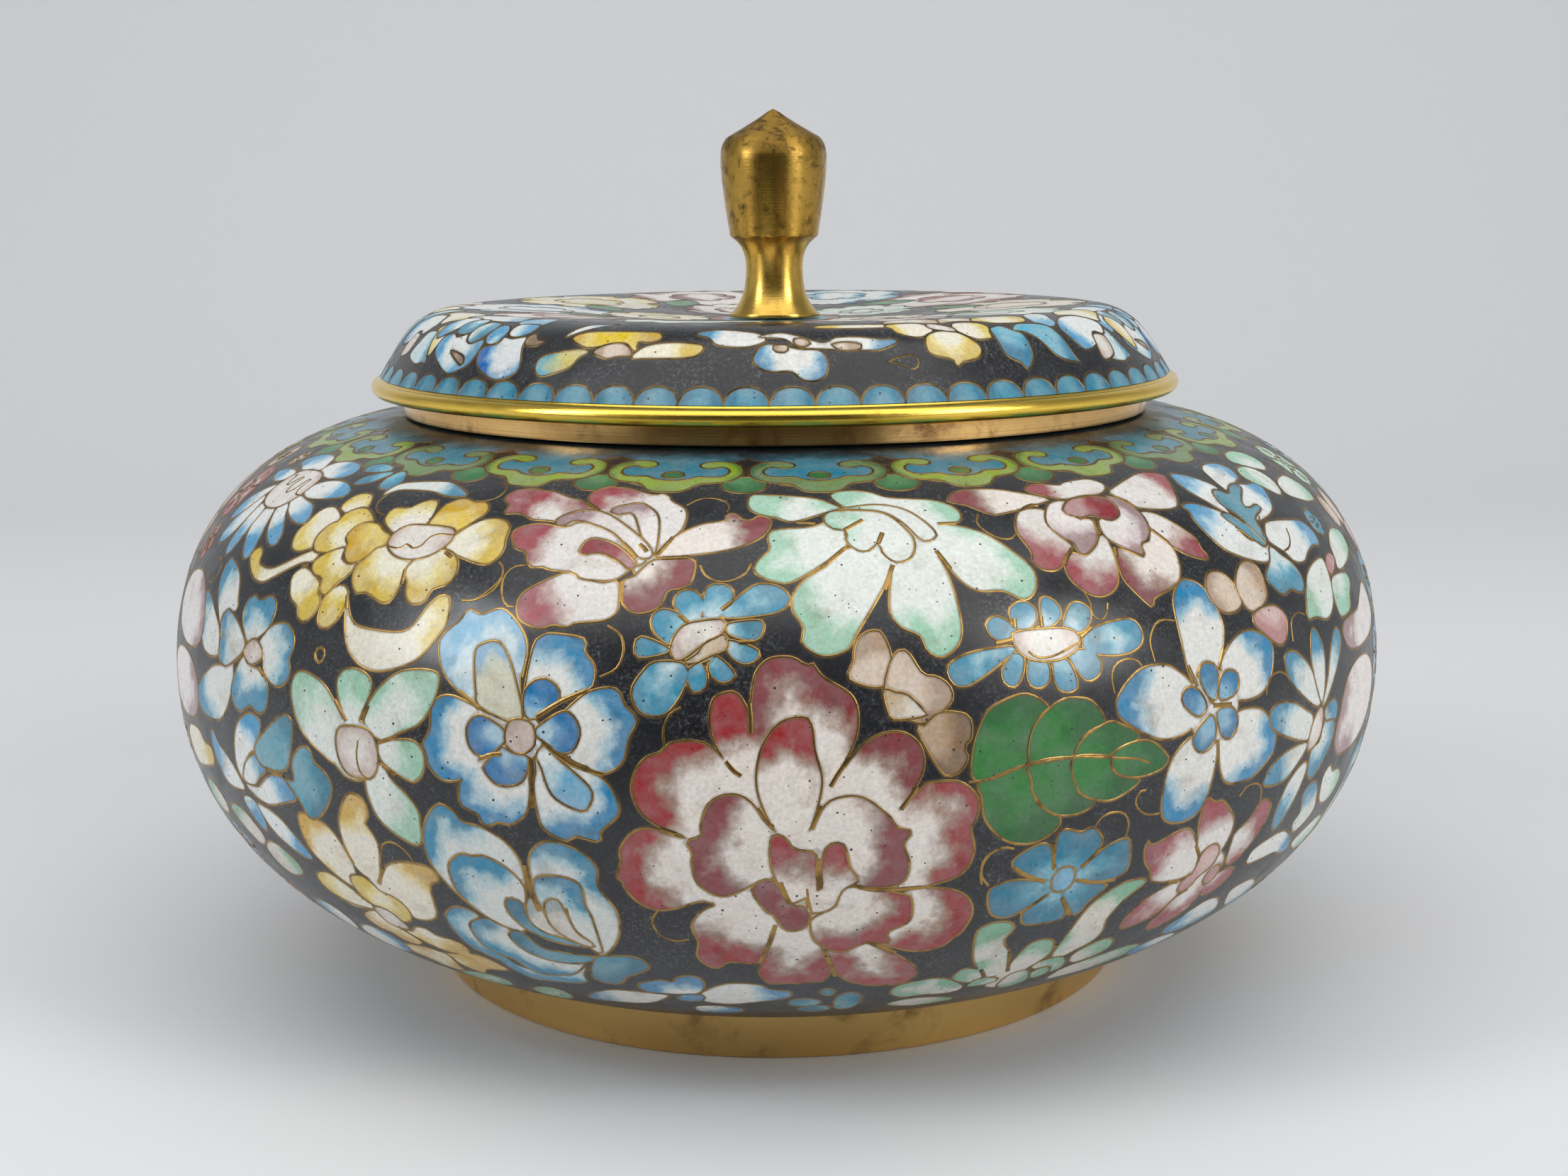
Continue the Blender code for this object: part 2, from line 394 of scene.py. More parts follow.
# One sheet holds the cells and the loose wires of one skin.
class Sheet:
    def __init__(self, skin, ground):
        self.skin = skin
        self.ground = ground
        self.cells = []
        self.wires = []          # (line, thickness)
        self.groups = 0
        self.turn = 0.0
        self.marks = []

    def newGroup(self):
        self.groups += 1
        return self.groups

    # What is drawn from here on belongs to this flower.
    def begin(self, flower):
        self.marks.append((flower, len(self.cells), len(self.wires)))

    # The cells and wires of a flower that has been drawn.
    def drawn(self, flower):
        k = [mark[0] for mark in self.marks].index(flower)
        (_, cell, wire), (_, lastCell, lastWire) = self.marks[k:k + 2]
        return self.cells[cell:lastCell], self.wires[wire:lastWire]

    # Sets a flower down again with its middle at another place, mirrored if wished.
    def again(self, flower, middle, place, mirrored):
        flip = np.array((-1.0 if mirrored else 1.0, 1.0))
        cells, wires = self.drawn(flower)
        fresh = {}
        for outline, enamel, base, group in cells:
            if group not in fresh:
                fresh[group] = self.newGroup()
            corners = (outline - middle) * flip + place
            if mirrored:
                corners = corners[::-1]
            self.cells.append(Cell(corners, enamel, (base - middle) * flip + place, fresh[group]))
        for line, thick in wires:
            self.wires.append(((line - middle) * flip + place, thick))

    def cell(self, outline, enamel, base=None, group=None, rounded=True):
        corners = np.array(outline, float)
        if rounded:
            corners = smoothLine(corners, 8, closed=True)
        corners = evenSteps(corners, sheet["outlineStep"], True)
        x, y = corners.T
        if (x * np.roll(y, -1) - np.roll(x, -1) * y).sum() < 0:
            corners = corners[::-1]
        base = corners.mean(0) if base is None else np.ravel(base)
        turn = np.array((self.turn, 0.0))
        self.cells.append(Cell(corners + turn, enamel, base + turn, group or self.newGroup()))

    # With a heart, given as a radius in millimetres, the petals run together into one
    # body round the base; without one, each petal is walled off by its own wire.
    def petals(self, enamel, base, outlines, heart=0.0, group=None):
        group = group or (self.newGroup() if heart else None)
        if heart:
            turns = np.arange(0, 2 * math.pi, 0.5)
            disc = base + np.stack([heart * np.cos(turns) / square[0], heart * np.sin(turns)], -1)
            self.cell(disc, enamel, base, group)
        for outline in outlines:
            self.cell(np.reshape(outline, (-1, 2)), enamel, base, group)
        return group

    def spurs(self, *lines):
        for line in lines:
            self.wire(np.reshape(line, (-1, 2)), sheet["spur"])

    def curls(self, *lines):
        for line in lines:
            self.wire(np.reshape(line, (-1, 2)))

    def wire(self, points, thick=1.0, rounded=True):
        line = smoothLine(points, 8) if rounded and len(points) > 2 else np.array(points, float)
        line = evenSteps(line, sheet["outlineStep"], False)
        self.wires.append((line + (self.turn, 0.0), thick))


# Spaces a line's points evenly, in millimetres of the flat sheet.
def evenSteps(line, step, closed):
    if closed:
        line = np.vstack([line, line[:1]])
    run = np.concatenate([[0], np.cumsum(np.hypot(*np.diff(line * square, axis=0).T))])
    count = max(int(round(run[-1] / step)), 6 if closed else 2)
    marks = np.linspace(0, run[-1], count + 1)
    if closed:
        marks = marks[:-1]
    return np.stack([np.interp(marks, run, line[:, k]) for k in (0, 1)], -1)


# Petal outlines, one unit long and one unit wide: (across, along).
petalShapes = {
    "round": [(0.16, 0.0), (0.36, 0.3), (0.5, 0.66), (0.36, 0.92), (0.0, 1.0)],
    "point": [(0.14, 0.0), (0.38, 0.26), (0.5, 0.52), (0.3, 0.84), (0.0, 1.0)],
    "notch": [(0.14, 0.0), (0.34, 0.34), (0.5, 0.72), (0.36, 0.96), (0.17, 1.0), (0.0, 0.91)],
    "ruffle": [(0.18, 0.0), (0.42, 0.28), (0.5, 0.6), (0.42, 0.74), (0.42, 0.9), (0.22, 0.94),
               (0.1, 1.0), (0.0, 0.95)],
}

# The short doubled wires between the petals of a small flower, as shares of the place where
# the petals meet and of a wire's thickness.
petalSpurs = {"reach": 0.9, "length": 0.45, "thick": 1.7}


def petalOutline(kind, direction, length, width, centre):
    half = petalShapes[kind]
    unit = half + [(-across, along) for across, along in half[-2::-1]]
    turn = math.radians(direction)
    outward = np.array((math.cos(turn), math.sin(turn)))
    sideways = np.array((-outward[1], outward[0]))
    spots = [outward * along * length + sideways * across * width for across, along in unit]
    return [(centre[0] + x / square[0], centre[1] + y) for x, y in spots]


# A ring of petals in one piece, with spurs between neighbours.
def petalRing(onSheet, centre, enamel, count, length, width, kind, turn):
    directions = [turn + 360 * i / count for i in range(count)]
    group = onSheet.newGroup()
    for direction in directions:
        onSheet.cell(petalOutline(kind, direction, length, width, centre), enamel, base=centre, group=group)
    for first, second in zip(directions, directions[1:] + directions[:1]):
        between = first + (second - first) % 360 / 2
        out = np.array((math.cos(math.radians(between)), math.sin(math.radians(between)))) / square
        reach = max(notchRadius(kind, length, width, between - direction) for direction in (first, second))
        line = [centre + out * share for share in (reach, reach * (1 - petalSpurs["length"]))]
        onSheet.wire(line, petalSpurs["thick"], rounded=False)


# How far out two petals meet, along a direction that leans from one of them.
def notchRadius(kind, length, width, lean):
    lean = math.radians(abs((lean + 180) % 360 - 180))
    best = 0.0
    for across, along in petalShapes[kind]:
        if math.atan2(across * width, max(along * length, 1e-6)) >= lean:
            best = max(best, math.hypot(across * width, along * length))
    return best * petalSpurs["reach"]


# Cutting a sheet into cells

# Cuts the sheet where outlines cross, and keeps the topmost cell in each place.
def cutSheet(onSheet):
    top = onSheet.skin.length
    edgeUp = np.linspace(0, top, int(top / sheet["gridStep"]))
    edgeRound = np.linspace(-halfTurn, halfTurn, sheet["edgePoints"])
    border = [(-halfTurn, v) for v in edgeUp[::-1]] + [(u, 0.0) for u in edgeRound[1:]]
    border += [(halfTurn, v) for v in edgeUp[1:]] + [(u, top) for u in edgeRound[-2:0:-1]]
    outlines = [(np.array(border), None)]
    for cell in onSheet.cells:
        for shift in (-2 * halfTurn, 0.0, 2 * halfTurn):
            moved = cell.outline + (shift, 0.0)
            if moved[:, 0].min() < halfTurn and moved[:, 0].max() > -halfTurn:
                outlines.append((moved, (cell, shift)))
    spots, edges = [], []
    for outline, _ in outlines:
        first, count = len(spots), len(outline)
        edges.extend((first + i, first + (i + 1) % count) for i in range(count))
        spots.extend(outline * square)
    near = pointTree(spots)
    extra = besideOutlines(outlines, near, top) + gridPoints(near, top)
    everything = [Vector(spot) for spot in spots + extra]
    points, _, triangles, *_ = geometry.delaunay_2d_cdt(everything, edges, [], 0, 1e-5, False)
    points = np.array([tuple(p) for p in points]) / square
    triangles = np.array(triangles)
    middles = points[triangles].mean(1)
    inside = (abs(middles[:, 0]) < halfTurn) & (middles[:, 1] > 0) & (middles[:, 1] < top)
    triangles, middles = triangles[inside], middles[inside]
    topmost = np.zeros(len(triangles), int)
    for which, (outline, owner) in enumerate(outlines):
        if owner:
            topmost[insideOutline(middles, outline)] = which
    return points, triangles, topmost, outlines


def pointTree(points):
    tree = kdtree.KDTree(len(points))
    for i, (x, y) in enumerate(points):
        tree.insert((x, y, 0.0), i)
    tree.balance()
    return tree


# A grid of staggered rows over the sheet, clear of the outlines.
def gridPoints(near, top):
    step, edge = sheet["gridStep"], halfTurn * square[0]
    found = []
    for row in range(1, int(top / (step * sheet["rowStep"]))):
        v = row * step * sheet["rowStep"]
        offset = step / 2 if row % 2 else 0.0
        found += [(u, v) for u in np.arange(-edge + step + offset, edge - step, step)
                  if near.find((u, v, 0.0))[2] > step * 0.6]
    return found


# More points on both sides of each outline, so that what lies along a wire stays narrow.
def besideOutlines(outlines, near, top):
    found, taken = [], set()
    gap = sheet["besideWire"]
    for outline, _ in outlines[1:]:
        flat = outline * square
        along = np.roll(flat, -1, 0) - np.roll(flat, 1, 0)
        along /= np.maximum(np.linalg.norm(along, axis=1), 1e-6)[:, None]
        side = np.stack([-along[:, 1], along[:, 0]], -1) * gap
        for u, v in np.vstack([flat + side, flat - side]):
            cell = (round(u / (gap * 0.9)), round(v / (gap * 0.9)))
            if cell in taken or not 0.2 < v < top - 0.2 or abs(u) > halfTurn * square[0] - 0.3:
                continue
            if near.find((u, v, 0.0))[2] > gap * 0.8:
                taken.add(cell)
                found.append((u, v))
    return found


# Which points an outline goes round, counted by its windings.
def insideOutline(places, outline):
    near = np.nonzero(((places >= outline.min(0)) & (places <= outline.max(0))).all(1))[0]
    x, y = places[near].T
    windings = np.zeros(len(near), int)
    for (x1, y1), (x2, y2) in zip(outline, np.roll(outline, -1, 0)):
        side = (x2 - x1) * (y - y1) - (x - x1) * (y2 - y1)
        windings += ((y1 <= y) & (y < y2) & (side > 0)).astype(int)
        windings -= ((y2 <= y) & (y < y1) & (side < 0)).astype(int)
    return near[windings != 0]


# Where the enamel changes from one group to another there is a wire. Joins those edges
# into lines.
def wireLines(triangles, groups):
    sides = {}
    for triangle, group in zip(triangles, groups):
        for a, b in ((0, 1), (1, 2), (2, 0)):
            key = (min(triangle[a], triangle[b]), max(triangle[a], triangle[b]))
            sides.setdefault(key, []).append(group)
    beside = {}
    for (a, b), found in sides.items():
        if len(found) == 2 and found[0] != found[1]:
            beside.setdefault(a, []).append(b)
            beside.setdefault(b, []).append(a)
    lines, used = [], set()
    ends = [spot for spot, others in beside.items() if len(others) != 2]
    for start in ends + list(beside):
        for step in beside[start]:
            if (start, step) in used:
                continue
            line = [start, step]
            used.update(((start, step), (step, start)))
            while len(beside[line[-1]]) == 2 and line[-1] != start:
                ahead = [spot for spot in beside[line[-1]] if (line[-1], spot) not in used]
                if not ahead:
                    break
                used.update(((line[-1], ahead[0]), (ahead[0], line[-1])))
                line.append(ahead[0])
            lines.append(line)
    return lines


# The colour lies along a petal's tip: places nearer its base than this share of its length
# are taken to be farther from the rim. The round heart has no colour of its own.
tipShare = {"from": 0.86, "slope": 1.5, "heart": 0.95}
farOff = 99.0
rimReach = 9.0       # mm within which a rim is looked for


# The outer edge of each group of cells: places in millimetres, and how much farther off
# each is taken to be.
def groupRims(outlines):
    members = {}
    for outline, owner in outlines:
        if owner:
            cell, shift = owner
            members.setdefault((cell.group, shift), []).append((outline, cell.base + (shift, 0.0)))
    rims = {}
    for key, cells in members.items():
        places, extra = [], []
        for i, (outline, base) in enumerate(cells):
            free = np.ones(len(outline), bool)
            for j, (other, _) in enumerate(cells):
                apart = (other.min(0) >= outline.max(0)).any() or (outline.min(0) >= other.max(0)).any()
                if i != j and not apart:
                    free[insideOutline(outline, other)] = False
            reach = np.linalg.norm((outline - base) * square, axis=1)
            far = reach.max()
            late = np.clip(tipShare["from"] - reach / far, 0, None) * far * tipShare["slope"]
            if reach.min() > tipShare["heart"] * far:
                late += farOff
            places.append((outline * square)[free])
            extra.append(late[free])
        rims[key] = np.vstack(places), np.concatenate(extra)
    return rims


def edgeDepth(places, rim):
    spots = places * square
    near = ((rim[0] > spots.min(0) - rimReach) & (rim[0] < spots.max(0) + rimReach)).all(1)
    if not near.any():
        return np.full(len(spots), farOff)
    gaps = np.linalg.norm(spots[:, None] - rim[0][near][None], axis=2) + rim[1][near][None]
    return gaps.min(1)


# For each corner of each triangle: three colours and how far they have run into each other.
def cornerLooks(points, triangles, topmost, outlines, ground):
    rims = groupRims(outlines)
    looks = np.zeros((len(triangles), 3, 10), np.float32)
    for which in np.unique(topmost):
        chosen = np.nonzero(topmost == which)[0]
        spots = points[triangles[chosen]].reshape(-1, 2)
        owner = outlines[which][1]
        *colors, change = enamels[owner[0].enamel if owner else ground]
        depth = edgeDepth(spots, rims[owner[0].group, owner[1]]) if owner else np.full(len(spots), change)
        for i, color in enumerate(colors):
            looks[chosen, :, 3 * i:3 * i + 3] = hexColor(color)
        looks[chosen, :, 9] = (1 - depth / change).reshape(-1, 3)
    return looks


def distancesTo(lines, points):
    near = kdtree.KDTree(sum(len(line) for line in lines))
    for spot in (spot for line in lines for spot in line):
        near.insert((*(points[spot] * square), 0.0), int(spot))
    near.balance()
    return np.array([near.find((*(point * square), 0.0))[2] for point in points])


def setLayer(mesh, name, kind, domain, values):
    data = mesh.attributes.new(name, kind, domain).data
    field = {"FLOAT_COLOR": "color", "FLOAT_VECTOR": "vector"}.get(kind, "value")
    data.foreach_set(field, np.ascontiguousarray(values, np.float32).ravel())


# Lays a sheet's cells on its skin, in so many panels of one mesh each, and returns the
# flat points and the lines along which wires lie.
def makeEnamel(onSheet, name, panels, material):
    points, triangles, topmost, outlines = cutSheet(onSheet)
    groups = np.array([owner[0].group if owner else 0 for _, owner in outlines])
    lines = wireLines(triangles, groups[topmost])
    wireGap = distancesTo(lines, points)
    looks = cornerLooks(points, triangles, topmost, outlines, onSheet.ground)
    spots, normals = onSheet.skin.place(points)
    middles = points[triangles].mean(1)[:, 0]
    panelOf = ((middles + halfTurn) / (2 * halfTurn) * panels).astype(int) % panels
    for panel in range(panels):
        chosen = np.nonzero(panelOf == panel)[0]
        used, corners = np.unique(triangles[chosen], return_inverse=True)
        mesh = bpy.data.meshes.new(f"{name}_{panel + 1:02d}")
        mesh.from_pydata(spots[used].tolist(), [], corners.reshape(-1, 3).tolist())
        values = looks[chosen].reshape(-1, 10)
        for layer, first in (("inner", 0), ("middle", 3), ("outer", 6)):
            colors = np.concatenate([values[:, first:first + 3], np.ones((len(values), 1))], 1)
            setLayer(mesh, layer, "FLOAT_COLOR", "CORNER", colors)
        setLayer(mesh, "blend", "FLOAT", "CORNER", values[:, 9])
        setLayer(mesh, "wireGap", "FLOAT", "POINT", wireGap[used])
        setLayer(mesh, "ground", "FLOAT", "FACE", topmost[chosen] == 0)
        mesh.shade_smooth()
        mesh.normals_split_custom_set_from_vertices(normals[used].tolist())
        mesh.materials.append(material)
        addPiece(mesh.name, mesh)
    return points, lines


# Wires, swept along their lines by Geometry Nodes

wireSizes = {"width": 0.29 * mm, "crown": 0.05 * mm, "sunk": -0.015 * mm}


def wireTree():
    tree = bpy.data.node_groups.new("wire along lines", "GeometryNodeTree")
    sockets = {}
    for label, kind in (("Lines", "Geometry"), ("Width", "Float"), ("Crown", "Float"),
                        ("Metal", "Material")):
        socket = tree.interface.new_socket(label, in_out="INPUT", socket_type="NodeSocket" + kind)
        sockets[label] = socket.identifier
    tree.interface.new_socket("Wires", in_out="OUTPUT", socket_type="NodeSocketGeometry")

    def step(kind, settings=None, **inputs):
        named = {key.replace("_", " "): value for key, value in inputs.items()}
        return addNode(tree, kind, settings, named).outputs[0]

    given = addNode(tree, "NodeGroupInput").outputs
    curve = step("GeometryNodeMeshToCurve", Mesh=given["Lines"])
    upright = step("GeometryNodeInputNamedAttribute", {"data_type": "FLOAT_VECTOR"}, Name="skinNormal")
    turned = step("GeometryNodeSetCurveNormal", {"mode": "FREE"}, Curve=curve, Normal=upright)
    thick = step("GeometryNodeInputNamedAttribute", {"data_type": "FLOAT"}, Name="thick")
    arc = step("GeometryNodeCurveArc", {"mode": "RADIUS"}, Resolution=5, Radius=1.0,
               Start_Angle=-math.pi / 2, Sweep_Angle=math.pi)
    half = reckon(tree, "MULTIPLY", given["Width"], 0.5)
    size = step("ShaderNodeCombineXYZ", X=given["Crown"], Y=half, Z=1.0)
    profile = step("GeometryNodeTransform", Geometry=arc, Scale=size)
    swept = step("GeometryNodeCurveToMesh", Curve=turned, Profile_Curve=profile, Scale=thick)
    soft = step("GeometryNodeSetShadeSmooth", Geometry=swept)
    real = step("GeometryNodeRealizeInstances", Geometry=soft)
    metal = step("GeometryNodeSetMaterial", Geometry=real, Material=given["Metal"])
    addNode(tree, "NodeGroupOutput", inputs={"Wires": metal})
    return tree, sockets


# Lays wires on a skin: lines are (flat points, thickness, closed).
def makeWires(name, skin, lines, material, tree, sockets):
    spots, normals, thick, edges = [], [], [], []
    for flat, factor, closed in lines:
        first, count = len(thick), len(flat)
        place, normal = skin.place(flat, wireSizes["sunk"])
        spots.extend(place.tolist())
        normals.extend(normal.tolist())
        thick.extend([factor] * count)
        edges.extend((first + i, first + i + 1) for i in range(count - 1))
        if closed:
            edges.append((first + count - 1, first))
    mesh = bpy.data.meshes.new(name)
    mesh.from_pydata(spots, edges, [])
    setLayer(mesh, "skinNormal", "FLOAT_VECTOR", "POINT", normals)
    setLayer(mesh, "thick", "FLOAT", "POINT", thick)
    path = addObject(name + " lines", mesh)
    sweeping = path.modifiers.new("sweep", "NODES")
    sweeping.node_group = tree
    sweeping[sockets["Width"]] = wireSizes["width"]
    sweeping[sockets["Crown"]] = wireSizes["crown"]
    sweeping[sockets["Metal"]] = material
    bpy.context.view_layer.update()
    solid = bpy.data.meshes.new_from_object(path.evaluated_get(bpy.context.evaluated_depsgraph_get()))
    path.modifiers.remove(sweeping)
    bpy.data.objects.remove(path)
    solid.name = name
    addPiece(name, solid)
    report(name, len(solid.polygons), "faces, from", len(lines), "wires")


def sheetWires(onSheet, points, lines):
    result = []
    for line in lines:
        closed = line[0] == line[-1]
        flat = points[line[:-1] if closed else line]
        if len(flat) > 1:
            result.append((flat, 1.0, closed))
    return result + [(flat, thick, False) for flat, thick in onSheet.wires]


# Finishes. Sizes are in metres, and pairs are the least and the most.

enamelLook = {
    "grain": 1.6 * mm,           # grains of glass, over which the colours run into each other
    "drift": 6.5 * mm,
    "haze": ("8A8C90", 7 * mm),  # on the charcoal
    "crushed": 0.35 * mm,
    "stain": ("B39A80", 4.5 * mm),
    "fading": 3.2 * mm,
    "vivid": (0.66, 1.1),
    "mottle": 0.45 * mm,
    "shade": (0.79, 1.07),
    # painted shade beside the wires: its colour, where it is full and where it is gone
    "wireShade": ("5C4C3A", 0.16, 0.38),      # gone at the second distance, in mm
    "collarDirt": ("2B2623", 73.9 * mm, 74.9 * mm),
    "bowlTop": 77 * mm,
    "pit": ("3A322B", 0.7 * mm, 0.22),
    "wear": 5 * mm,
    "roughness": (0.2, 0.36),
}


# Fired glass enamel, ground flat and polished by hand: a deep gloss over grainy colour,
# with burst bubbles left as small dark pits, and painted shade along the wires.
def polishedEnamel(look):
    material, tree, inputs = newMaterial("polished cloisonne enamel")
    place = addNode(tree, "ShaderNodeTexCoord").outputs["Object"]

    def layer(name, output="Fac"):
        return addNode(tree, "ShaderNodeAttribute", {"attribute_name": name}).outputs[output]

    # the three colours of a petal run into each other
    jitter = stretch(tree, noise(tree, place, look["grain"], 5.0, 0.62), 0.25, 0.75, -0.17, 0.17)
    drift = stretch(tree, noise(tree, place, look["drift"], 2.0, 0.5), 0.3, 0.7, -0.2, 0.14)
    blend = reckon(tree, "ADD", reckon(tree, "ADD", layer("blend"), jitter), drift)
    early = stretch(tree, blend, 0.12, 0.5, soft=True)
    late = stretch(tree, blend, 0.42, 0.72, soft=True)
    color = mixed(tree, early, layer("inner", "Color"), layer("middle", "Color"))
    color = mixed(tree, late, color, layer("outer", "Color"))
    # grey haze and crushed grains on the charcoal
    ground = layer("ground")
    gray, size = look["haze"]
    hazy = stretch(tree, noise(tree, place, size, 6.0, 0.62, 0.6), 0.42, 0.7, 0.06, 0.8)
    grainy = stretch(tree, noise(tree, place, look["crushed"], 4.0, 0.75), 0.48, 0.72, soft=True)
    hazy = reckon(tree, "MULTIPLY", reckon(tree, "MULTIPLY", hazy, ground), grainy)
    color = mixed(tree, hazy, color, opaque(gray))
    # brown stains, and colours that have faded unevenly
    brown, size = look["stain"]
    stained = stretch(tree, noise(tree, place, size, 5.0, 0.6, 0.5), 0.5, 0.78, 0.0, 0.5, soft=True)
    color = mixed(tree, stained, color, opaque(brown), "MULTIPLY")
    fading = noise(tree, place, look["fading"], 4.0, 0.65, 0.3)
    color = addNode(tree, "ShaderNodeHueSaturation", inputs={
        "Saturation": stretch(tree, fading, 0.3, 0.7, *look["vivid"]), "Color": color}).outputs[0]
    # fine mottling of every colour, coarsest on the charcoal
    mottle = noise(tree, place, look["mottle"], 3.0, 0.7)
    shade = reckon(tree, "POWER", stretch(tree, mottle, 0.3, 0.7, *look["shade"]),
                   reckon(tree, "MULTIPLY_ADD", ground, 1.6, 1.0))
    shaded = addNode(tree, "ShaderNodeVectorMath", {"operation": "SCALE"}, {0: color, "Scale": shade})
    # painted shade beside the wires, where the enamel meets them, and black in the corner where the collar
    # meets the bowl
    shadeAndJointColor, full, none = look["wireShade"]
    shadeByWires = stretch(tree, layer("wireGap"), full, none, 0.42, 0.0, soft=True)
    color = mixed(tree, shadeByWires, shaded.outputs[0], opaque(shadeAndJointColor))
    shadeAndJointColor, low, high = look["collarDirt"]
    up = upFrom(tree, place)
    ragged = reckon(tree, "MULTIPLY_ADD", fading, 1.6 * mm, up)
    corner = stretch(tree, ragged, low, high, 0.0, 0.85, soft=True)
    corner = reckon(tree, "MULTIPLY", corner, reckon(tree, "LESS_THAN", up, look["bowlTop"]))
    color = mixed(tree, corner, color, opaque(shadeAndJointColor))
    # pits, most of them small
    dark, spacing, widest = look["pit"]
    cells = addNode(tree, "ShaderNodeTexVoronoi", inputs={"Vector": place, "Scale": 1 / spacing}).outputs
    chance = addNode(tree, "ShaderNodeSeparateColor", inputs={"Color": cells["Color"]}).outputs[0]
    spread = stretch(tree, reckon(tree, "POWER", chance, 3.4), 0.15, 1.0, 0.0, widest)
    pit = reckon(tree, "LESS_THAN", cells["Distance"], spread)
    tree.links.new(mixed(tree, pit, color, opaque(dark)), inputs["Base Color"])
    # worn places are less glossy
    wear = noise(tree, place, look["wear"], 5.0, 0.6)
    tree.links.new(stretch(tree, wear, 0.3, 0.7, *look["roughness"]), inputs["Roughness"])
    height = reckon(tree, "SUBTRACT", reckon(tree, "MULTIPLY_ADD", mottle, 0.25, wear), pit)
    bumpy(tree, height, 0.35, 0.06 * mm)
    inputs["IOR"].default_value = 1.5
    return material


liningLook = {
    "colors": ("2F7F97", "4FA3B4"),
    "cloud": 9 * mm,
    "pit": ("23282A", 2.4 * mm, 0.12),
    "ripple": 0.25 * mm,
    "roughness": 0.24,
}


# Plain turquoise enamel inside and underneath, fired without wires: slightly rippled.
def liningEnamel(look):
    material, tree, inputs = newMaterial("turquoise lining enamel")
    place = addNode(tree, "ShaderNodeTexCoord").outputs["Object"]
    cloud = noise(tree, place, look["cloud"], 6.0, 0.6)
    color = mixed(tree, cloud, *(opaque(text) for text in look["colors"]))
    dark, spacing, widest = look["pit"]
    cells = addNode(tree, "ShaderNodeTexVoronoi", inputs={"Vector": place, "Scale": 1 / spacing}).outputs
    chance = addNode(tree, "ShaderNodeSeparateColor", inputs={"Color": cells["Color"]}).outputs[0]
    pit = reckon(tree, "LESS_THAN", cells["Distance"], stretch(tree, chance, 0.7, 1.0, 0.0, widest))
    tree.links.new(mixed(tree, pit, color, opaque(dark)), inputs["Base Color"])
    bumpy(tree, cloud, 0.3, look["ripple"])
    inputs["Roughness"].default_value = look["roughness"]
    return material


# Each metal: its colour, its tarnish and how much of that there is, the roughness where it
# is cleanest, the sizes of the lines left by turning and of the blotches of tarnish, and
# where in the noise they are taken from. brushed is how far the lines smear what it
# mirrors up and down.
metals = {
    "drawn gilt wire": {"color": "A8874F", "tarnish": "66502F", "amount": 0.5, "roughness": 0.3,
                        "lines": 0.3 * mm, "blotches": 2.5 * mm, "seed": 0.0},
    # painted shade: a darker copy of the wire metal, for the lid's wires
    "shaded gilt wire": {"color": "7E6A44", "tarnish": "453822", "amount": 0.55, "roughness": 0.34,
                       "lines": 0.3 * mm, "blotches": 2.5 * mm, "seed": 0.1},
    "satin brass foot": {"color": "E0BA74", "tarnish": "8C6E3E", "amount": 0.3, "roughness": 0.36,
                         "lines": 0.15 * mm, "blotches": 9 * mm, "seed": 0.0, "brushed": 0.7},
    "rosy worn gilding": {"color": "F2C47E", "tarnish": "7A5036", "amount": 0.28, "roughness": 0.12,
                          "lines": 0.2 * mm, "blotches": 7 * mm, "seed": 0.2, "brushed": 0.5},
    "polished gilding": {"color": "FFD65C", "tarnish": "A67C2E", "amount": 0.12, "roughness": 0.13,
                         "lines": 0.12 * mm, "blotches": 5 * mm, "seed": 0.4},
    "aged turned brass": {"color": "C29A48", "tarnish": "5A4826", "amount": 0.4, "roughness": 0.21,
                          "lines": 0.25 * mm, "blotches": 1.5 * mm, "seed": 0.9, "brushed": 0.7,
                          "rubbedBelow": 96.4 * mm, "rubbedColor": "E6BE5C", "dullAbove": 107.9 * mm},
}


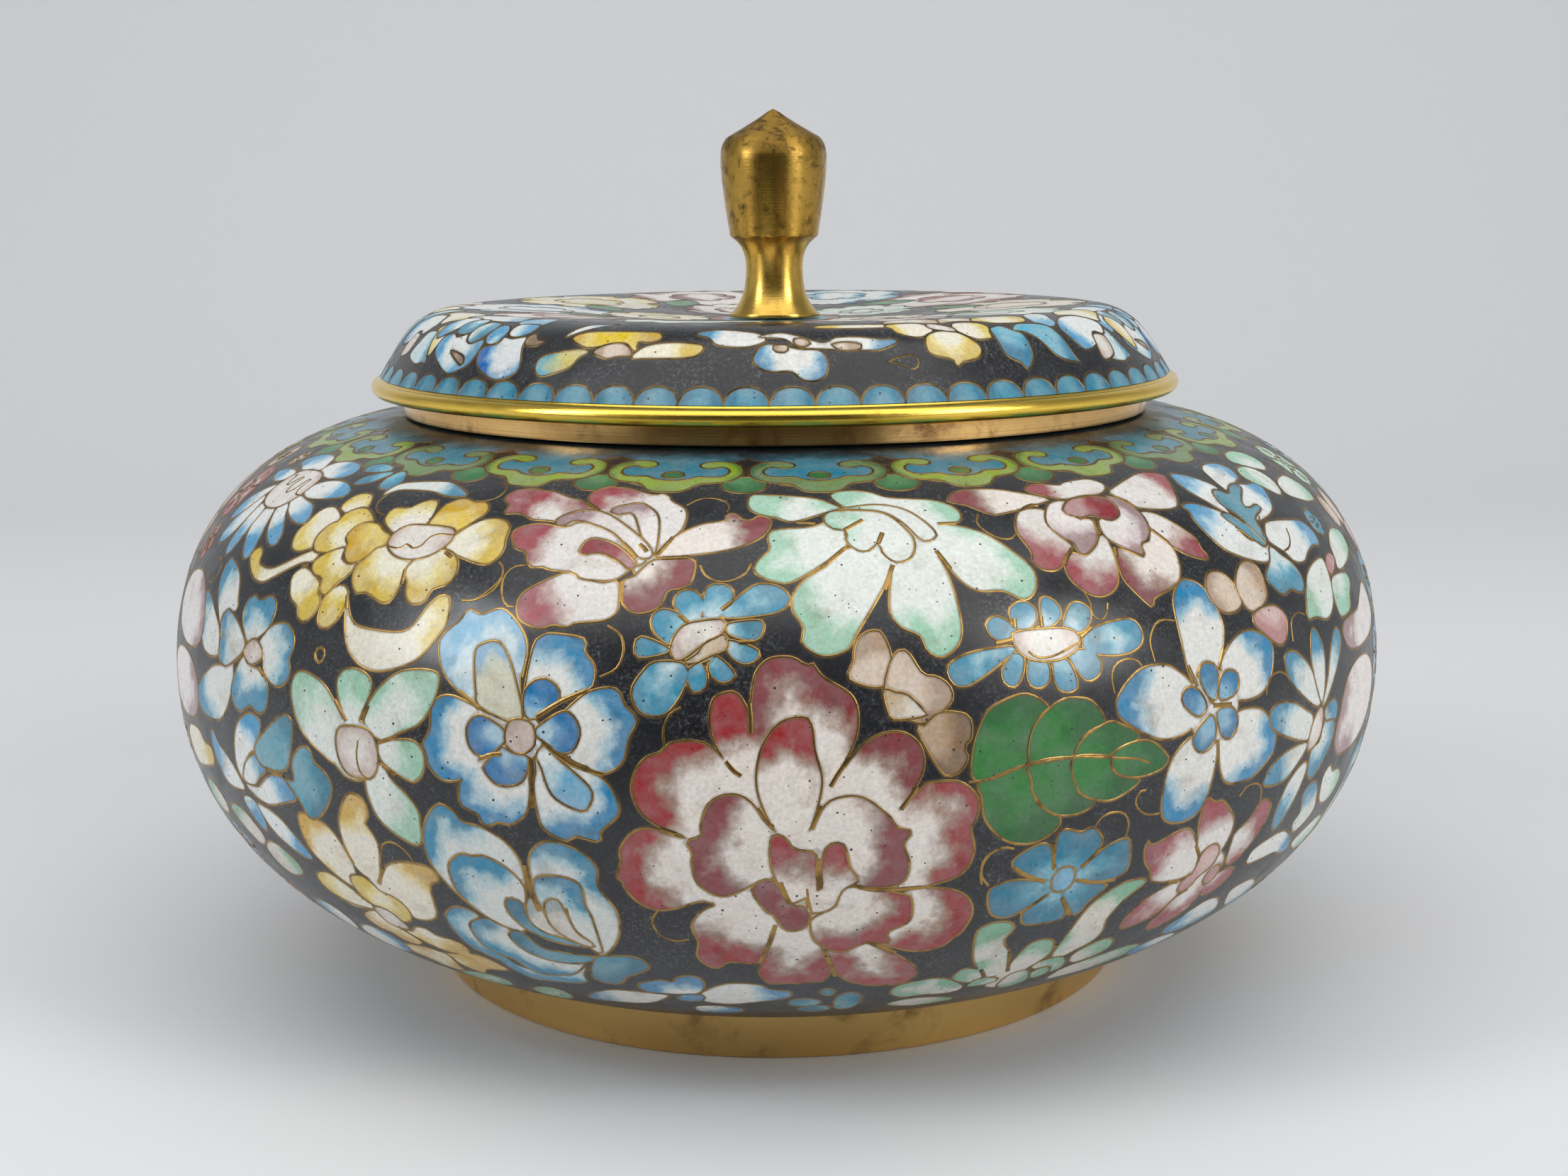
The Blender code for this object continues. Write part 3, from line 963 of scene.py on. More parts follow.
# Worn gilding and brass: the metal's colour under a thin brown tarnish that gathers in
# blotches, with fine lines left by turning or rubbing round the axis.
def wornMetal(name):
    look = metals[name]
    material, tree, inputs = newMaterial(name)
    place = addNode(tree, "ShaderNodeTexCoord").outputs["Object"]
    moved = addNode(tree, "ShaderNodeMapping", inputs={
        "Vector": place, "Location": (look["seed"], look["seed"], 0)}).outputs[0]
    blotch = noise(tree, moved, look["blotches"], 7.0, 0.65, 0.4)
    film = stretch(tree, blotch, 0.62 - look["amount"] * 0.4, 0.85 - look["amount"] * 0.3, soft=True)
    rough = stretch(tree, blotch, 0.3, 0.75, look["roughness"], look["roughness"] + 0.15)
    clean = opaque(look["color"])
    if "rubbedBelow" in look:
        # fingers keep the metal bright lower down, and the top is the dullest
        up, below, above = upFrom(tree, place), look["rubbedBelow"], look["dullAbove"]
        kept = stretch(tree, up, below - 0.6 * mm, below + 0.4 * mm, 0.25, 1.0, soft=True)
        dull = stretch(tree, up, above - 0.8 * mm, above + 0.8 * mm, 0.0, 0.3, soft=True)
        film = addNode(tree, "ShaderNodeMath", {"operation": "ADD", "use_clamp": True}, {
            0: reckon(tree, "MULTIPLY", film, kept), 1: dull}).outputs[0]
        rough = reckon(tree, "ADD", rough, dull)
        clean = mixed(tree, kept, opaque(look["rubbedColor"]), clean)
    tree.links.new(mixed(tree, film, clean, opaque(look["tarnish"])), inputs["Base Color"])
    # tarnish is a film, so there the bare metal shows only in part
    tree.links.new(stretch(tree, film, 0.0, 1.0, 1.0, 0.93), inputs["Metallic"])
    tree.links.new(rough, inputs["Roughness"])
    x, y, z = addNode(tree, "ShaderNodeSeparateXYZ", inputs={"Vector": place}).outputs
    across = addNode(tree, "ShaderNodeVectorMath", {"operation": "LENGTH"}, {
        0: addNode(tree, "ShaderNodeCombineXYZ", inputs={"X": x, "Y": y}).outputs[0]}).outputs["Value"]
    lines = addNode(tree, "ShaderNodeTexNoise", {"noise_dimensions": "2D"}, {
        "Vector": addNode(tree, "ShaderNodeCombineXYZ", inputs={"X": across, "Y": z}).outputs[0],
        "Scale": 1 / look["lines"], "Detail": 3.0, "Roughness": 0.7}).outputs["Fac"]
    bumpy(tree, reckon(tree, "ADD", lines, blotch), 0.35, 0.05 * mm)
    if "brushed" in look:
        along = addNode(tree, "ShaderNodeVectorMath", {"operation": "CROSS_PRODUCT"},
                        {0: (0, 0, 1), 1: place})
        along = addNode(tree, "ShaderNodeVectorMath", {"operation": "NORMALIZE"}, {0: along.outputs[0]})
        tree.links.new(along.outputs[0], inputs["Tangent"])
        inputs["Anisotropic"].default_value = look["brushed"]
        inputs["Anisotropic Rotation"].default_value = 0.25      # a quarter turn
    return material


# Turned pieces

turning = {
    "corner": 0.15 * mm,         # radius that the metal's corners are rounded with
    "shellCorner": 0.3 * mm,
    "underEnamel": 0.35 * mm,    # how far a lining lies below the enamel
    "rimRise": 0.33 * mm,        # from the lid rim's solid up to the enamel's lower edge
    "shellSides": 128,
    "ringSides": 192,
    "knobSides": 96,
}


# Rounds an outline: gentle bends become smooth curves, and corners get a small radius.
def softened(outline, radius, closed=True):
    result = []
    count = len(outline)
    for i, spot in enumerate(outline):
        if not closed and i in (0, count - 1):
            result.append(spot)
            continue
        before, after = outline[i - 1], outline[(i + 1) % count]
        here = np.array(spot)
        toBefore, toAfter = np.array(before) - here, np.array(after) - here
        room = 0.5 * min(np.linalg.norm(toBefore), np.linalg.norm(toAfter))
        cut = room if turnAngle(before, spot, after) < sharpTurn else min(room, radius)
        start = here + toBefore / np.linalg.norm(toBefore) * cut
        end = here + toAfter / np.linalg.norm(toAfter) * cut
        for t in (0.0, 0.25, 0.5, 0.75, 1.0):
            result.append(tuple((1 - t) ** 2 * start + 2 * t * (1 - t) * here + t * t * end))
    return result


# Moves the inner points of one stretch of a section inwards, to lie under the enamel.
def setBack(section, start, count, depth):
    result = list(section)
    for i in range(start + 1, start + count - 1):
        (r0, z0), (r1, z1) = section[i - 1], section[i + 1]
        length = math.dist((r0, z0), (r1, z1))
        result[i] = (section[i][0] - (z1 - z0) / length * depth, section[i][1] + (r1 - r0) / length * depth)
    return result


# Turns an outline round the axis. One that isn't closed starts and ends on the axis.
def turnedPiece(name, outline, segments, material, closed=True):
    if not closed:
        outline = [(0.0, outline[0][1]), *outline, (0.0, outline[-1][1])]
    clean = [outline[0]]
    for spot in outline[1:]:
        if math.dist(spot, clean[-1]) > tiny:
            clean.append(spot)
    if closed and math.dist(clean[0], clean[-1]) < tiny:
        clean.pop()
    bm = bmesh.new()
    angles = [2 * math.pi * i / segments for i in range(segments)]
    rings = []
    for radius, height in clean:
        if radius < tiny:
            rings.append([bm.verts.new((0.0, 0.0, height))])
        else:
            spots = [(radius * math.cos(a), radius * math.sin(a), height) for a in angles]
            rings.append([bm.verts.new(spot) for spot in spots])
    for lower, upper in zip(rings, rings[1:] + rings[:1] if closed else rings[1:]):
        for i in range(segments):
            j = (i + 1) % segments
            corners = [ring[k % len(ring)] for ring, k in ((lower, i), (lower, j), (upper, j), (upper, i))]
            corners = list(dict.fromkeys(corners))
            if len(corners) > 2:
                bm.faces.new(corners)
    bmesh.ops.recalc_face_normals(bm, faces=bm.faces)
    mesh = bpy.data.meshes.new(name)
    bm.to_mesh(mesh)
    bm.free()
    mesh.materials.append(material)
    mesh.shade_smooth()
    return addPiece(name, mesh)


# The flowers of the side that faces the camera. Each petal is a list of places: degrees,
# millimetres, degrees, millimetres and so on.

# Red and white peony in the middle.
def drawPeony(draw):
    body = draw.petals("redPeony", (1.4, 44.7), [
        [-2.6,53.1, -4.9,56.3, -7.4,56.5, -8.4,55.4, -9.5,54.8, -10.3,53.3, -10.6,51.3, -10,49.1, -8.8,47.7,
         -7.3,46.9, -5.7,46, -3.2,47.3, -1.2,49.3, -1.2,52],
        [-7.5,46.6, -9.3,47.4, -10.8,46.6, -11.7,44.7, -11.7,43.3, -12.1,41.5, -11.7,40.8, -11.5,39.8,
         -10.4,38, -8.6,37.4, -5.8,38.8, -4.9,38.6, -2.7,40.7, -3.2,44.3, -5.7,46],
        [-4.9,38.2, -5.7,37.6, -6.7,35.3, -6.3,32.7, -6.6,30.2, -5.7,28.2, -4.8,28.1, -4.4,28.9, -3.7,29.3,
         -2,29, -1.3,29.8, -0.2,35.5, 0.2,37.3, -1.2,40, -3.2,40.3],
        [0,35.6, -0.3,33.8, -1.5,28.5, -1.5,26.7, -0.7,24.5, 1.2,24.6, 1.8,24.3, 2.7,24.7, 3.7,24.7,
         4.2,25.4, 4.6,27.7, 3.9,30.3, 3.7,31.7, 3.2,33, 2.7,35, 1.4,36],
        [4.1,30.4, 5.7,25.3, 8.6,23, 9.5,23.1, 10.5,22.8, 11.5,23.3, 12.1,24.3, 12.3,25.7, 11.9,27.1,
         10.3,29.5, 8.4,31.3, 6.6,32.7, 4.6,32],
        [7.7,32.4, 8.7,31.7, 11.7,30.2, 13.8,30.9, 14.4,32, 15.1,33, 15.6,36, 14.7,38.5, 12.7,39.7, 10,39.7,
         8.6,37.3, 8.1,34],
        [10.6,51.3, 11.5,51.9, 13.7,51.7, 15.1,49.8, 15,47.6, 14.6,46.6, 15,44, 14.3,41.5, 12.2,40.3,
         9,39.9, 7.6,42.7, 8.1,47.3]], 10.5)
    draw.petals("dustyPeony", (1.4, 44.7), [
        [-0.6,55, -1.7,57.4, -1.6,62.7, -0.6,64.9, 1.2,65.2, 2.4,64.3, 2.8,64.6, 3.6,63.1, 5.7,61.1,
         6.1,58.3, 5.4,55.3, 3.4,51.3, 1.7,51],
        [4.1,51.9, 5.4,54.6, 7.1,56.8, 9.2,57.3, 10.7,55.7, 10.8,52.9, 9.1,49.2, 8.1,48, 5.6,49.3,
         3.9,50.3]], group=body)
    draw.petals("redPeony", (1.4, 44.7), [
        [-1.8,57.5, -2,59.7, -2.6,61.3, -3.2,61.7, -4.5,61, -4.8,58.5, -4.2,55.8, -2.8,53.3, -1.5,52,
         -0.8,55, -1.2,57.3]], group=body)
    inner = draw.petals("redPeony", (1.4, 45.3), [
        [-0.7,48.9, -1.4,52.3, -1,56, 0.3,58.5, 2.1,59.1, 2.7,58.2, 2.9,55.6, 3.4,52.3, 2.6,47.7, 1.7,46.3,
         0.5,46.3]], 1.2)
    draw.petals("dustyPeony", (1.7, 45.7), [
        [-0.3,47.5, -1.9,50.5, -3.4,51.2, -4.9,50.2, -5.5,47.8, -5.5,46.7, -6.6,46, -6.2,44.6, -6.3,43.3,
         -5.8,40.8, -3.9,39.5, -1.4,41.3, -0.5,41.6, 0.2,42.7, 0.7,46],
        [2.7,47.5, 3,48.7, 4.1,50.5, 6.3,50.7, 8.3,48.6, 8.9,47.3, 10.1,46.7, 9.5,45.3, 10,43, 9.5,40.7,
         7.3,40.3, 5.1,41.3, 2.7,43.3, 1.2,46]], group=inner)
    draw.petals("redPeony", (4.1, 39.3), [
        [4.9,40.2, 6.2,40.5, 9.7,39.3, 10.4,38.5, 10.5,35.5, 9.1,34.2, 8.8,33.5, 9.1,32.7, 8.7,32, 7.4,32.5,
         5.6,31.1, 4.5,31.2, 3,33, 2.6,35.7, 2.9,36.7, 4.5,38.1]])
    draw.petals("dustyPeony", (1.9, 39.3), [
        [-0.8,41.7, -1.9,40.5, -0.8,37.5, -0.3,37.1, 0.7,34.8, 2.2,35.1, 2.6,37.3, 1.9,38.3, 1.1,38.5,
         0,41.2]])
    draw.petals("redPeony", (2.7, 37.7), [
        [-0.3,46.7, 0.7,46.5, 1.1,45.6, 1.7,45.1, 3,44.5, 3.1,40.4, 3.4,39.3, 2.7,38, 2.2,39.3, 1.7,38.8,
         1,38.6, 0.5,39.8, -0.4,43.3],
        [3.4,40.5, 3.3,43.3, 3.8,45.5, 5,45.6, 5.5,43, 6.2,41.3, 5,40.1, 4.3,37.8, 2.7,37.3, 2.3,39.7]],
        0.6)
    draw.spurs(
        [-1.9,60.5, -1.8,59, -1.8,57.5], [-3.6,54.6, -3.1,53.7, -2.5,53.1], [-8.5,47.3, -7.4,46.8],
        [-1.3,49.7, -0.8,48.5, -0.2,47.7], [3.4,49.9, 3,48.7, 2.6,47.4], [5.4,54.8, 4.6,53.3, 4,51.9],
        [10.4,51.5, 9.8,50.3, 9.2,49.2], [-0.1,35.6, -0.6,32.7, -1.3,29.7], [4,30.3, 4.4,28.8, 5,26],
        [7.7,32.3, 8.7,31.3, 9.8,30.3], [6.2,40.5, 7.6,40, 11.1,40], [3.2,44, 3.1,42.3, 3.3,40.5],
        [0.3,41.3, 0.7,39.7, 1,38.6])
    draw.curls(
        [2.3,40.5, 2.4,39.3, 2.7,37.3], [15.9,39.7, 15.7,41.3, 15.9,43, 16.8,43.9], [-9.2,37.3, -9.7,36.2,
         -9.7,34.7, -9,33.2, -8,32.8, -7,33.2], [-8.1,56, -8.2,57.7, -7.7,59.3, -6.9,60])


# Beige buds.
def drawBuds(draw):
    draw.petals("beige", (8.3, 61.7), [
        [6.6,67.3, 6,66, 5.9,64.7, 5.5,62.8, 8,61.9, 8.8,64.7, 8.3,67.3, 7.6,67.8]])
    draw.petals("beige", (8.3, 61.3), [
        [8.1,61.8, 8.9,65, 10,65.5, 11.1,63.1, 12.2,62.7, 13.1,61.7, 13.3,60.5, 12.8,59.5, 11.1,58,
         9.7,58.5, 8.7,58.5, 8.3,59.2]])
    draw.petals("cream", (10.5, 58.8), [
        [8,61.7, 9,61.3, 9.9,61, 11.1,59.2, 11,58.7, 8.8,58.5, 8.3,59.2]])
    draw.petals("bronzed", (10.8, 57.7), [
        [10.5,58, 11.1,57.8, 11.5,58.5, 12.5,59.1, 14.4,58.5, 14.6,56.3, 14,55.3, 14.3,54.2, 13.8,53,
         13,52.4, 12.2,52.9, 10.5,57]])


# Green leaf.
def drawLeaf(draw):
    draw.petals("leaf", (16.9, 52.3), [
        [14.8,51.7, 14.6,55, 15.6,58.3, 16.7,59.5, 19.1,60.3, 20.9,58.7, 20.1,57.8, 19.1,55, 19,53,
         17.6,52.5],
        [14.9,51.4, 15.3,50, 15.7,47.3, 17.4,44.8, 19.6,44.1, 21.4,45.2, 21.9,46.7, 20.1,48.3, 19.5,49.7,
         19.1,52.8, 16.2,51.8],
        [19.1,53, 19.5,56.7, 21.8,59.2, 24,59.2, 25,58.3, 25.7,56.4, 24.5,55.8, 23.6,55, 22.8,53.2,
         20.8,53.3],
        [19.1,52.8, 22.8,53.1, 22.8,52, 23,50.3, 23.8,48.8, 24.9,47.9, 23.3,46.8, 21.1,47.3, 19.5,49.7,
         19.3,51.3],
        [22.9,53.2, 23.6,54.9, 25.7,56.3, 26.8,56.2, 28.9,54.3, 26.5,53.2, 26.1,52.7, 24.3,53.1],
        [22.8,53.1, 26.1,52.7, 26.1,51.8, 26.7,50.7, 28.8,49.8, 28.2,48.8, 26.1,47.8, 23.8,48.8, 23,50.3],
        [26.2,52.8, 27.9,53.8, 29.9,53.7, 31.4,52, 31.6,51.2, 30.9,50.3, 28.7,49.9, 26.7,50.7]])
    draw.curls([14.3,51.6, 16.2,51.8, 20.8,53.3, 27.7,52.2, 29.8,51.3])


# Small blue flower under the leaf.
def drawBlueFlower(draw):
    draw.petals("flatBlue", (23, 39), [
        [21.9,41, 21.7,43.7, 21.8,44.8, 22.4,45.3, 23.9,44.7, 24.6,45.1, 25.4,44.5, 25.9,42.7, 23.8,40],
        [24.4,40.2, 26.2,42.3, 28.1,43.1, 28.7,42.3, 29,38.7, 26.9,37.8, 24.3,38.7, 23.8,39.3],
        [24.1,38.5, 27.1,37.4, 27.3,36.7, 26.1,35, 25.7,33.7, 25,33.3, 23.5,36.3, 23,37.3],
        [21.7,37, 20.3,35.5, 20,34.5, 20.3,33.3, 21.2,32.7, 24.1,33, 23.8,35.2, 22.8,37.5],
        [21.8,37.2, 19.1,34.6, 17.3,35.2, 16.6,37.8, 16.9,39.2, 18.9,39.8, 21.3,39, 22,38.3],
        [21.3,39.2, 19,40.5, 18.2,42.3, 20.1,43.9, 21.4,43.3, 22,39.5]], 2.4)
    draw.petals("paleBlue", (23, 38.8), [
        [21.9,39, 22.2,40.2, 23,40.7, 23.8,40.2, 24,39, 23.7,37.7, 23,37.3, 22.2,37.7]])
    draw.spurs(
        [21.6,43.8, 21.7,42, 21.9,40.5], [26,42.3, 25.2,41.3, 24.4,40.2], [28.1,37.7, 26.2,37.8, 24.2,38.6],
        [24.7,33.3, 24,34.8, 23.3,36.3], [19.8,34.9, 20.8,36, 21.8,37.1], [18.4,41.3, 19.8,40, 21.3,39.1])
    draw.curls(
        [16.5,39.4, 15.8,40.8, 15.8,42.3, 16.4,43.5, 17.3,44, 18.2,43.7], [25,45, 25.5,46, 26.5,46.4,
         27.6,46.1, 28.2,44.8, 28.1,43.3], [29.6,61.7, 29.2,62.4, 28.2,62.7, 27.1,62.2, 26.6,61, 26.7,59.3],
        [31.1,45.3, 30,45.4, 29,46.2, 28.6,47.3, 28.9,48.2, 29.5,48.3])


# Blue flower at the left, with a yellow fold.
def drawFoldedFlower(draw):
    body = draw.petals("paleBlue", (-19.3, 56.2), [
        [-19.5,62.3, -19.2,63.3, -19.3,65.8, -20.2,67.7, -21.6,69.2, -22.5,69.4, -23.8,68.6, -25.1,69.1,
         -25.6,67.8, -26.8,66.2, -27.1,65, -26.5,62.5, -24.8,60.3, -21.2,57.8, -20.5,57.5, -19.5,58.3,
         -19.1,58.7]], 2.6)
    draw.petals("blueWhite", (-19.3, 56.2), [
        [-18.8,65.7, -18.4,66.5, -17.6,67.1, -14.7,66.7, -14.5,65.3, -13.6,63.8, -13.7,61.7, -14.6,61.2,
         -15.3,60.5, -16.2,60.2, -18.3,58.3, -18.9,59.3, -19.1,61.3],
        [-14.3,61, -12.4,61.8, -11.5,61.3, -11.2,60.2, -10.3,59, -10.2,58.2, -10.7,56.8, -11.3,54,
         -12.9,52.8, -13.9,53.5, -15,54, -16.3,55.3, -17.3,56, -16.5,58],
        [-20.5,57.3, -22.4,58.5, -25.4,59.8, -27,58.7, -27.1,56, -27.8,54.2, -27.4,53.2, -27.3,52.2,
         -26.1,50.7, -24.4,50.9, -23,52.7, -22.2,54.3, -20.7,55, -20.2,56],
        [-22.7,53.3, -24.3,51, -24.5,48.3, -23,47.3, -22.8,46.5, -22.1,46.1, -21.3,46.7, -20.2,46.6,
         -18.8,48.3, -18.4,52, -18.5,53.7, -20.2,54.7],
        [-18.1,54, -18,52.7, -18.2,51, -17.9,47.7, -17.4,46.3, -15.8,45.3, -15,45.9, -13.2,45.5, -13,46.7,
         -11.5,49, -12.4,52, -14.1,53.3, -16.8,55, -17.8,55]], group=body)
    draw.petals("yellowBlue", (-20.2, 58), [
        [-22.9,59, -23.2,60.3, -23.7,64, -23.5,65.2, -21.9,65.9, -20.7,64.3, -19.7,61.3, -19.1,58.5,
         -19.5,57.8, -20.5,57.7]])
    draw.petals("deepBlue", (-19.3, 56.2), [
        [-19.1,59, -19,61.3, -17.6,62.4, -16.3,61.3, -16.5,59.7, -18.4,58],
        [-18,57.2, -15.7,59.2, -14.5,57.3, -15.1,55, -16.3,54.8, -16.9,55.5, -17.9,56.3],
        [-20.6,56.7, -21.2,57.3, -22.8,58.1, -23.8,56.7, -23.5,54.5, -22.2,53.7, -20.5,55.5],
        [-20.7,55, -20.1,54.5, -18.6,54.2, -18.5,53.3, -19.2,51.3, -21.1,50.8, -22.3,52.2, -22.2,53]], 1.6)
    draw.petals("paleBlue", (-18, 55), [
        [-18,54.3, -17.6,53.2, -16.7,50.2, -14.7,48.8, -13.9,49.2, -13.7,51.3, -16.3,54.3, -17.3,55.5]])
    draw.petals("ivory", (-19.3, 56.2), [
        [-20.4,57.3, -19.7,58, -18.3,57.6, -18.1,55.3, -19.4,54.3, -20.5,55.3]])
    draw.spurs(
        [-24.6,60.3, -23.7,59.5, -22.8,58.7], [-19.1,64.8, -19.3,62.3], [-14.1,61.4, -16.1,60.1, -18,58.4],
        [-17.4,55.7, -15.3,53.8, -12.7,52.8], [-22.5,53.5, -21.7,54, -20.8,54.2], [-18.5,54.1, -18.4,51.3,
         -18.4,48.7])


# Red and white peony at the left shoulder.
def drawLeftPeony(draw):
    body = draw.petals("rosePeony", (-10.7, 75.3), [
        [-20.1,80.8, -22.7,81, -23.4,81.5, -24.5,81.8, -25.9,81.7, -26,83, -27.1,84.2, -26.5,86, -24.4,86.5,
         -23.4,86.1, -22.4,86.2, -20.1,85.1, -18.8,84.7, -17.3,83.3, -16.5,83, -13.9,79.3, -17.8,79.7],
        [-18,84.5, -18.1,86.5, -16.8,87.7, -15.8,87.5, -14.8,87.5, -11.9,86.2, -10.9,86.5, -10.1,85.9,
         -9.7,85, -8.1,83.3, -8.1,80.3, -9.4,78, -10,76.7, -11.9,77, -13.9,79.7]], 1.5)
    draw.petals("dustyPeony", (-10.9, 75), [
        [-10,76.5, -8.6,79.3, -6.3,81.2, -4.5,81.7, -4.4,82.5, -3.9,83, -3.3,82.7, -2.9,82, -2.1,81.8,
         -1.5,82.5, -0.7,82.4, -0.2,81.5, -1,79.3, -3.1,77.7, -6,76.8, -9.4,76.3],
        [-12.3,73.3, -11.4,74, -10,76, -7.2,76.3, -6.5,75.7, -6.7,73.3, -7.5,72.5, -8.5,72.2, -9.1,70.3,
         -10.9,69.6, -12.2,71]])
    draw.petals("rosePeony", (-13.9, 73.7), [
        [-20.5,68.5, -20.7,71.2, -17.8,73.8, -16.5,74, -15.3,73.3, -13.9,73, -12.7,73.2, -12.3,70.3,
         -12.6,69.3, -13.4,68.7, -15.6,68.3, -16.3,67.8, -17.4,68, -18.6,67.5]])
    draw.petals("rosePeony", (-11.4, 75.3), [
        [-19,80.1, -21.4,80.5, -23.4,79.7, -23.8,78.5, -22.8,76.7, -21.7,76.3, -20.8,74.5, -19.5,74.5,
         -18.8,74.2, -16.8,74, -15.8,73.3, -13.1,73.3, -11.6,75, -10.7,75.7, -12.1,77.7, -15.8,80.7,
         -17.8,80.9]])
    draw.petals("paleRose", (-10.2, 76.7), [
        [-15.3,82.8, -15,83.7, -13.1,84.5, -12,84.1, -10.5,82, -10,77.3, -10.8,76.8, -12.9,82.3,
         -14.3,82.3],
        [-20.2,80.8, -19.7,82, -17.6,83, -15.1,82.2, -11.4,78.7, -10.2,76.5, -11.6,76.3, -14.3,79.5,
         -17.3,81, -18.5,81, -19.2,80.2, -20,80.3]])
    draw.petals("deepRed", (-11.9, 74.7), [
        [-16.8,76.8, -16.4,78.4, -15.3,78.6, -13.4,77.7, -11.6,75.7, -11.4,75, -12.1,74.7, -12.9,75.5,
         -14.8,76.6, -16.3,76.3]])
    draw.spurs(
        [-18,84.3, -16.5,83], [-9.4,76.2, -8.3,76.3, -7.2,76.4], [-12.4,73.2, -12.3,72, -12.2,70.8],
        [-8.8,79.1, -9.3,77.8, -9.8,76.6], [-11.6,78, -11.2,77.6, -10.8,77], [-13.1,78.1, -12.3,77.2,
         -11.6,76.2])
    draw.curls(
        [-26,69.9, -24.6,70.2, -23.4,71.3, -23,72.8, -23.2,74, -23.7,74.8], [-21.1,74.7, -22.2,74.3,
         -22.8,73, -22.5,71, -21.8,69.8, -21.1,69.7], [-8.3,84.3, -7.2,85.5, -5.8,85.7, -4.5,85, -4.2,83.8,
         -4.4,83.1], [-6.1,75.4, -5.6,74.2, -4.5,73.4, -3.3,73.6, -2.3,74.5, -1.9,75.7], [-13,68.2,
         -11.9,67.3, -11.5,65.7, -11.9,63.8, -13.2,62.8])


# Turquoise and white lotus.
def drawLotus(draw):
    draw.petals("turquoiseWhite", (-19.5, 32), [
        [-24.4,34, -26.8,37.3, -28.4,41.3, -28.1,45.3, -26.6,47.9, -25,47.2, -24.5,46.3, -22.5,45.8,
         -20.5,44, -19.7,41, -20.2,36, -20.5,34.7, -22.4,33.7],
        [-25.1,33.8, -27,34.8, -28.6,33.3, -29,31.7, -28.6,28.3, -27.9,26.8, -26,24.8, -25.7,23.3, -24.4,21,
         -22.9,20.6, -18.3,21.7, -17.6,24.3, -17,26.3, -18.8,26, -21.2,24, -23.7,24, -24.9,26, -26.1,27.7,
         -26.6,30, -26.3,32.3],
        [-19.2,39.3, -19,43.3, -17.4,45.1, -15.1,44.5, -13.6,42.5, -13.7,40, -12.5,36.7, -12.9,32.7,
         -14.7,29.3, -15.8,30.7, -17.3,32.7, -18.8,36]])
    draw.petals("turquoiseWhite", (-19.5, 31.3), [
        [-24.3,33.8, -26,36.3, -26.5,37.8, -26.5,40.7, -25.1,42.4, -24.1,42.3, -22.9,42.5, -21,41.2,
         -19.9,38.7, -20.7,34.3, -21.2,32.3, -22.4,32.3],
        [-24.6,33.7, -26.6,32, -26.6,28.7, -26,27.2, -24.1,25.8, -23.7,24.5, -22.9,23.3, -21.7,22.9,
         -18.8,24, -16.9,27, -18.3,26.8, -21.7,27.8, -22.9,30.7, -22.5,32.2, -23.7,33],
        [-19,40.2, -17,41, -15.2,40.2, -15,37.3, -14.7,35.7, -14.6,31.3, -14.8,29.7, -15.6,30.3, -16.5,32.7,
         -18.8,36.3]])
    draw.petals("lotusWhite", (-17.3, 32), [
        [-20.2,36.8, -19.7,37.7, -19.2,37.3, -17.7,32.3, -16.3,30.9, -17.8,31.3, -20,33.2, -20.4,34.7],
        [-18.6,34.3, -18.5,37.2, -17.2,37.7, -16.5,33.7, -16.1,32.5, -15.4,31.7, -15.3,30.7, -16.3,31,
         -17.7,32.3]])
    draw.petals("slateTurquoise", (-16.3, 29.3), [
        [-22.1,35.2, -21.8,37.2, -20.5,36.9, -20.4,34.7, -20,33.3, -19,32.3, -17.8,31.9, -15.8,30.5,
         -18.8,31, -21,32.7],
        [-21.9,32.3, -22.7,31.8, -23,30.7, -22.1,28.2, -19.7,26.8, -16.9,27.2, -15.1,28.8, -16.3,28.9,
         -19.7,29.3, -20.7,30.2, -21.2,31.5],
        [-15.3,29, -14.3,29.3, -12,29.5, -10.9,28, -11.4,26.7, -13.4,24.7, -14.1,23.2, -15.1,22.4,
         -16.3,22.7, -16.9,23.8, -16.3,27]])
    draw.spurs([-19.6,42, -19.5,39, -19.2,35.9])
    draw.curls([-16.7,36.8, -16.5,33.7, -15.4,31.7])


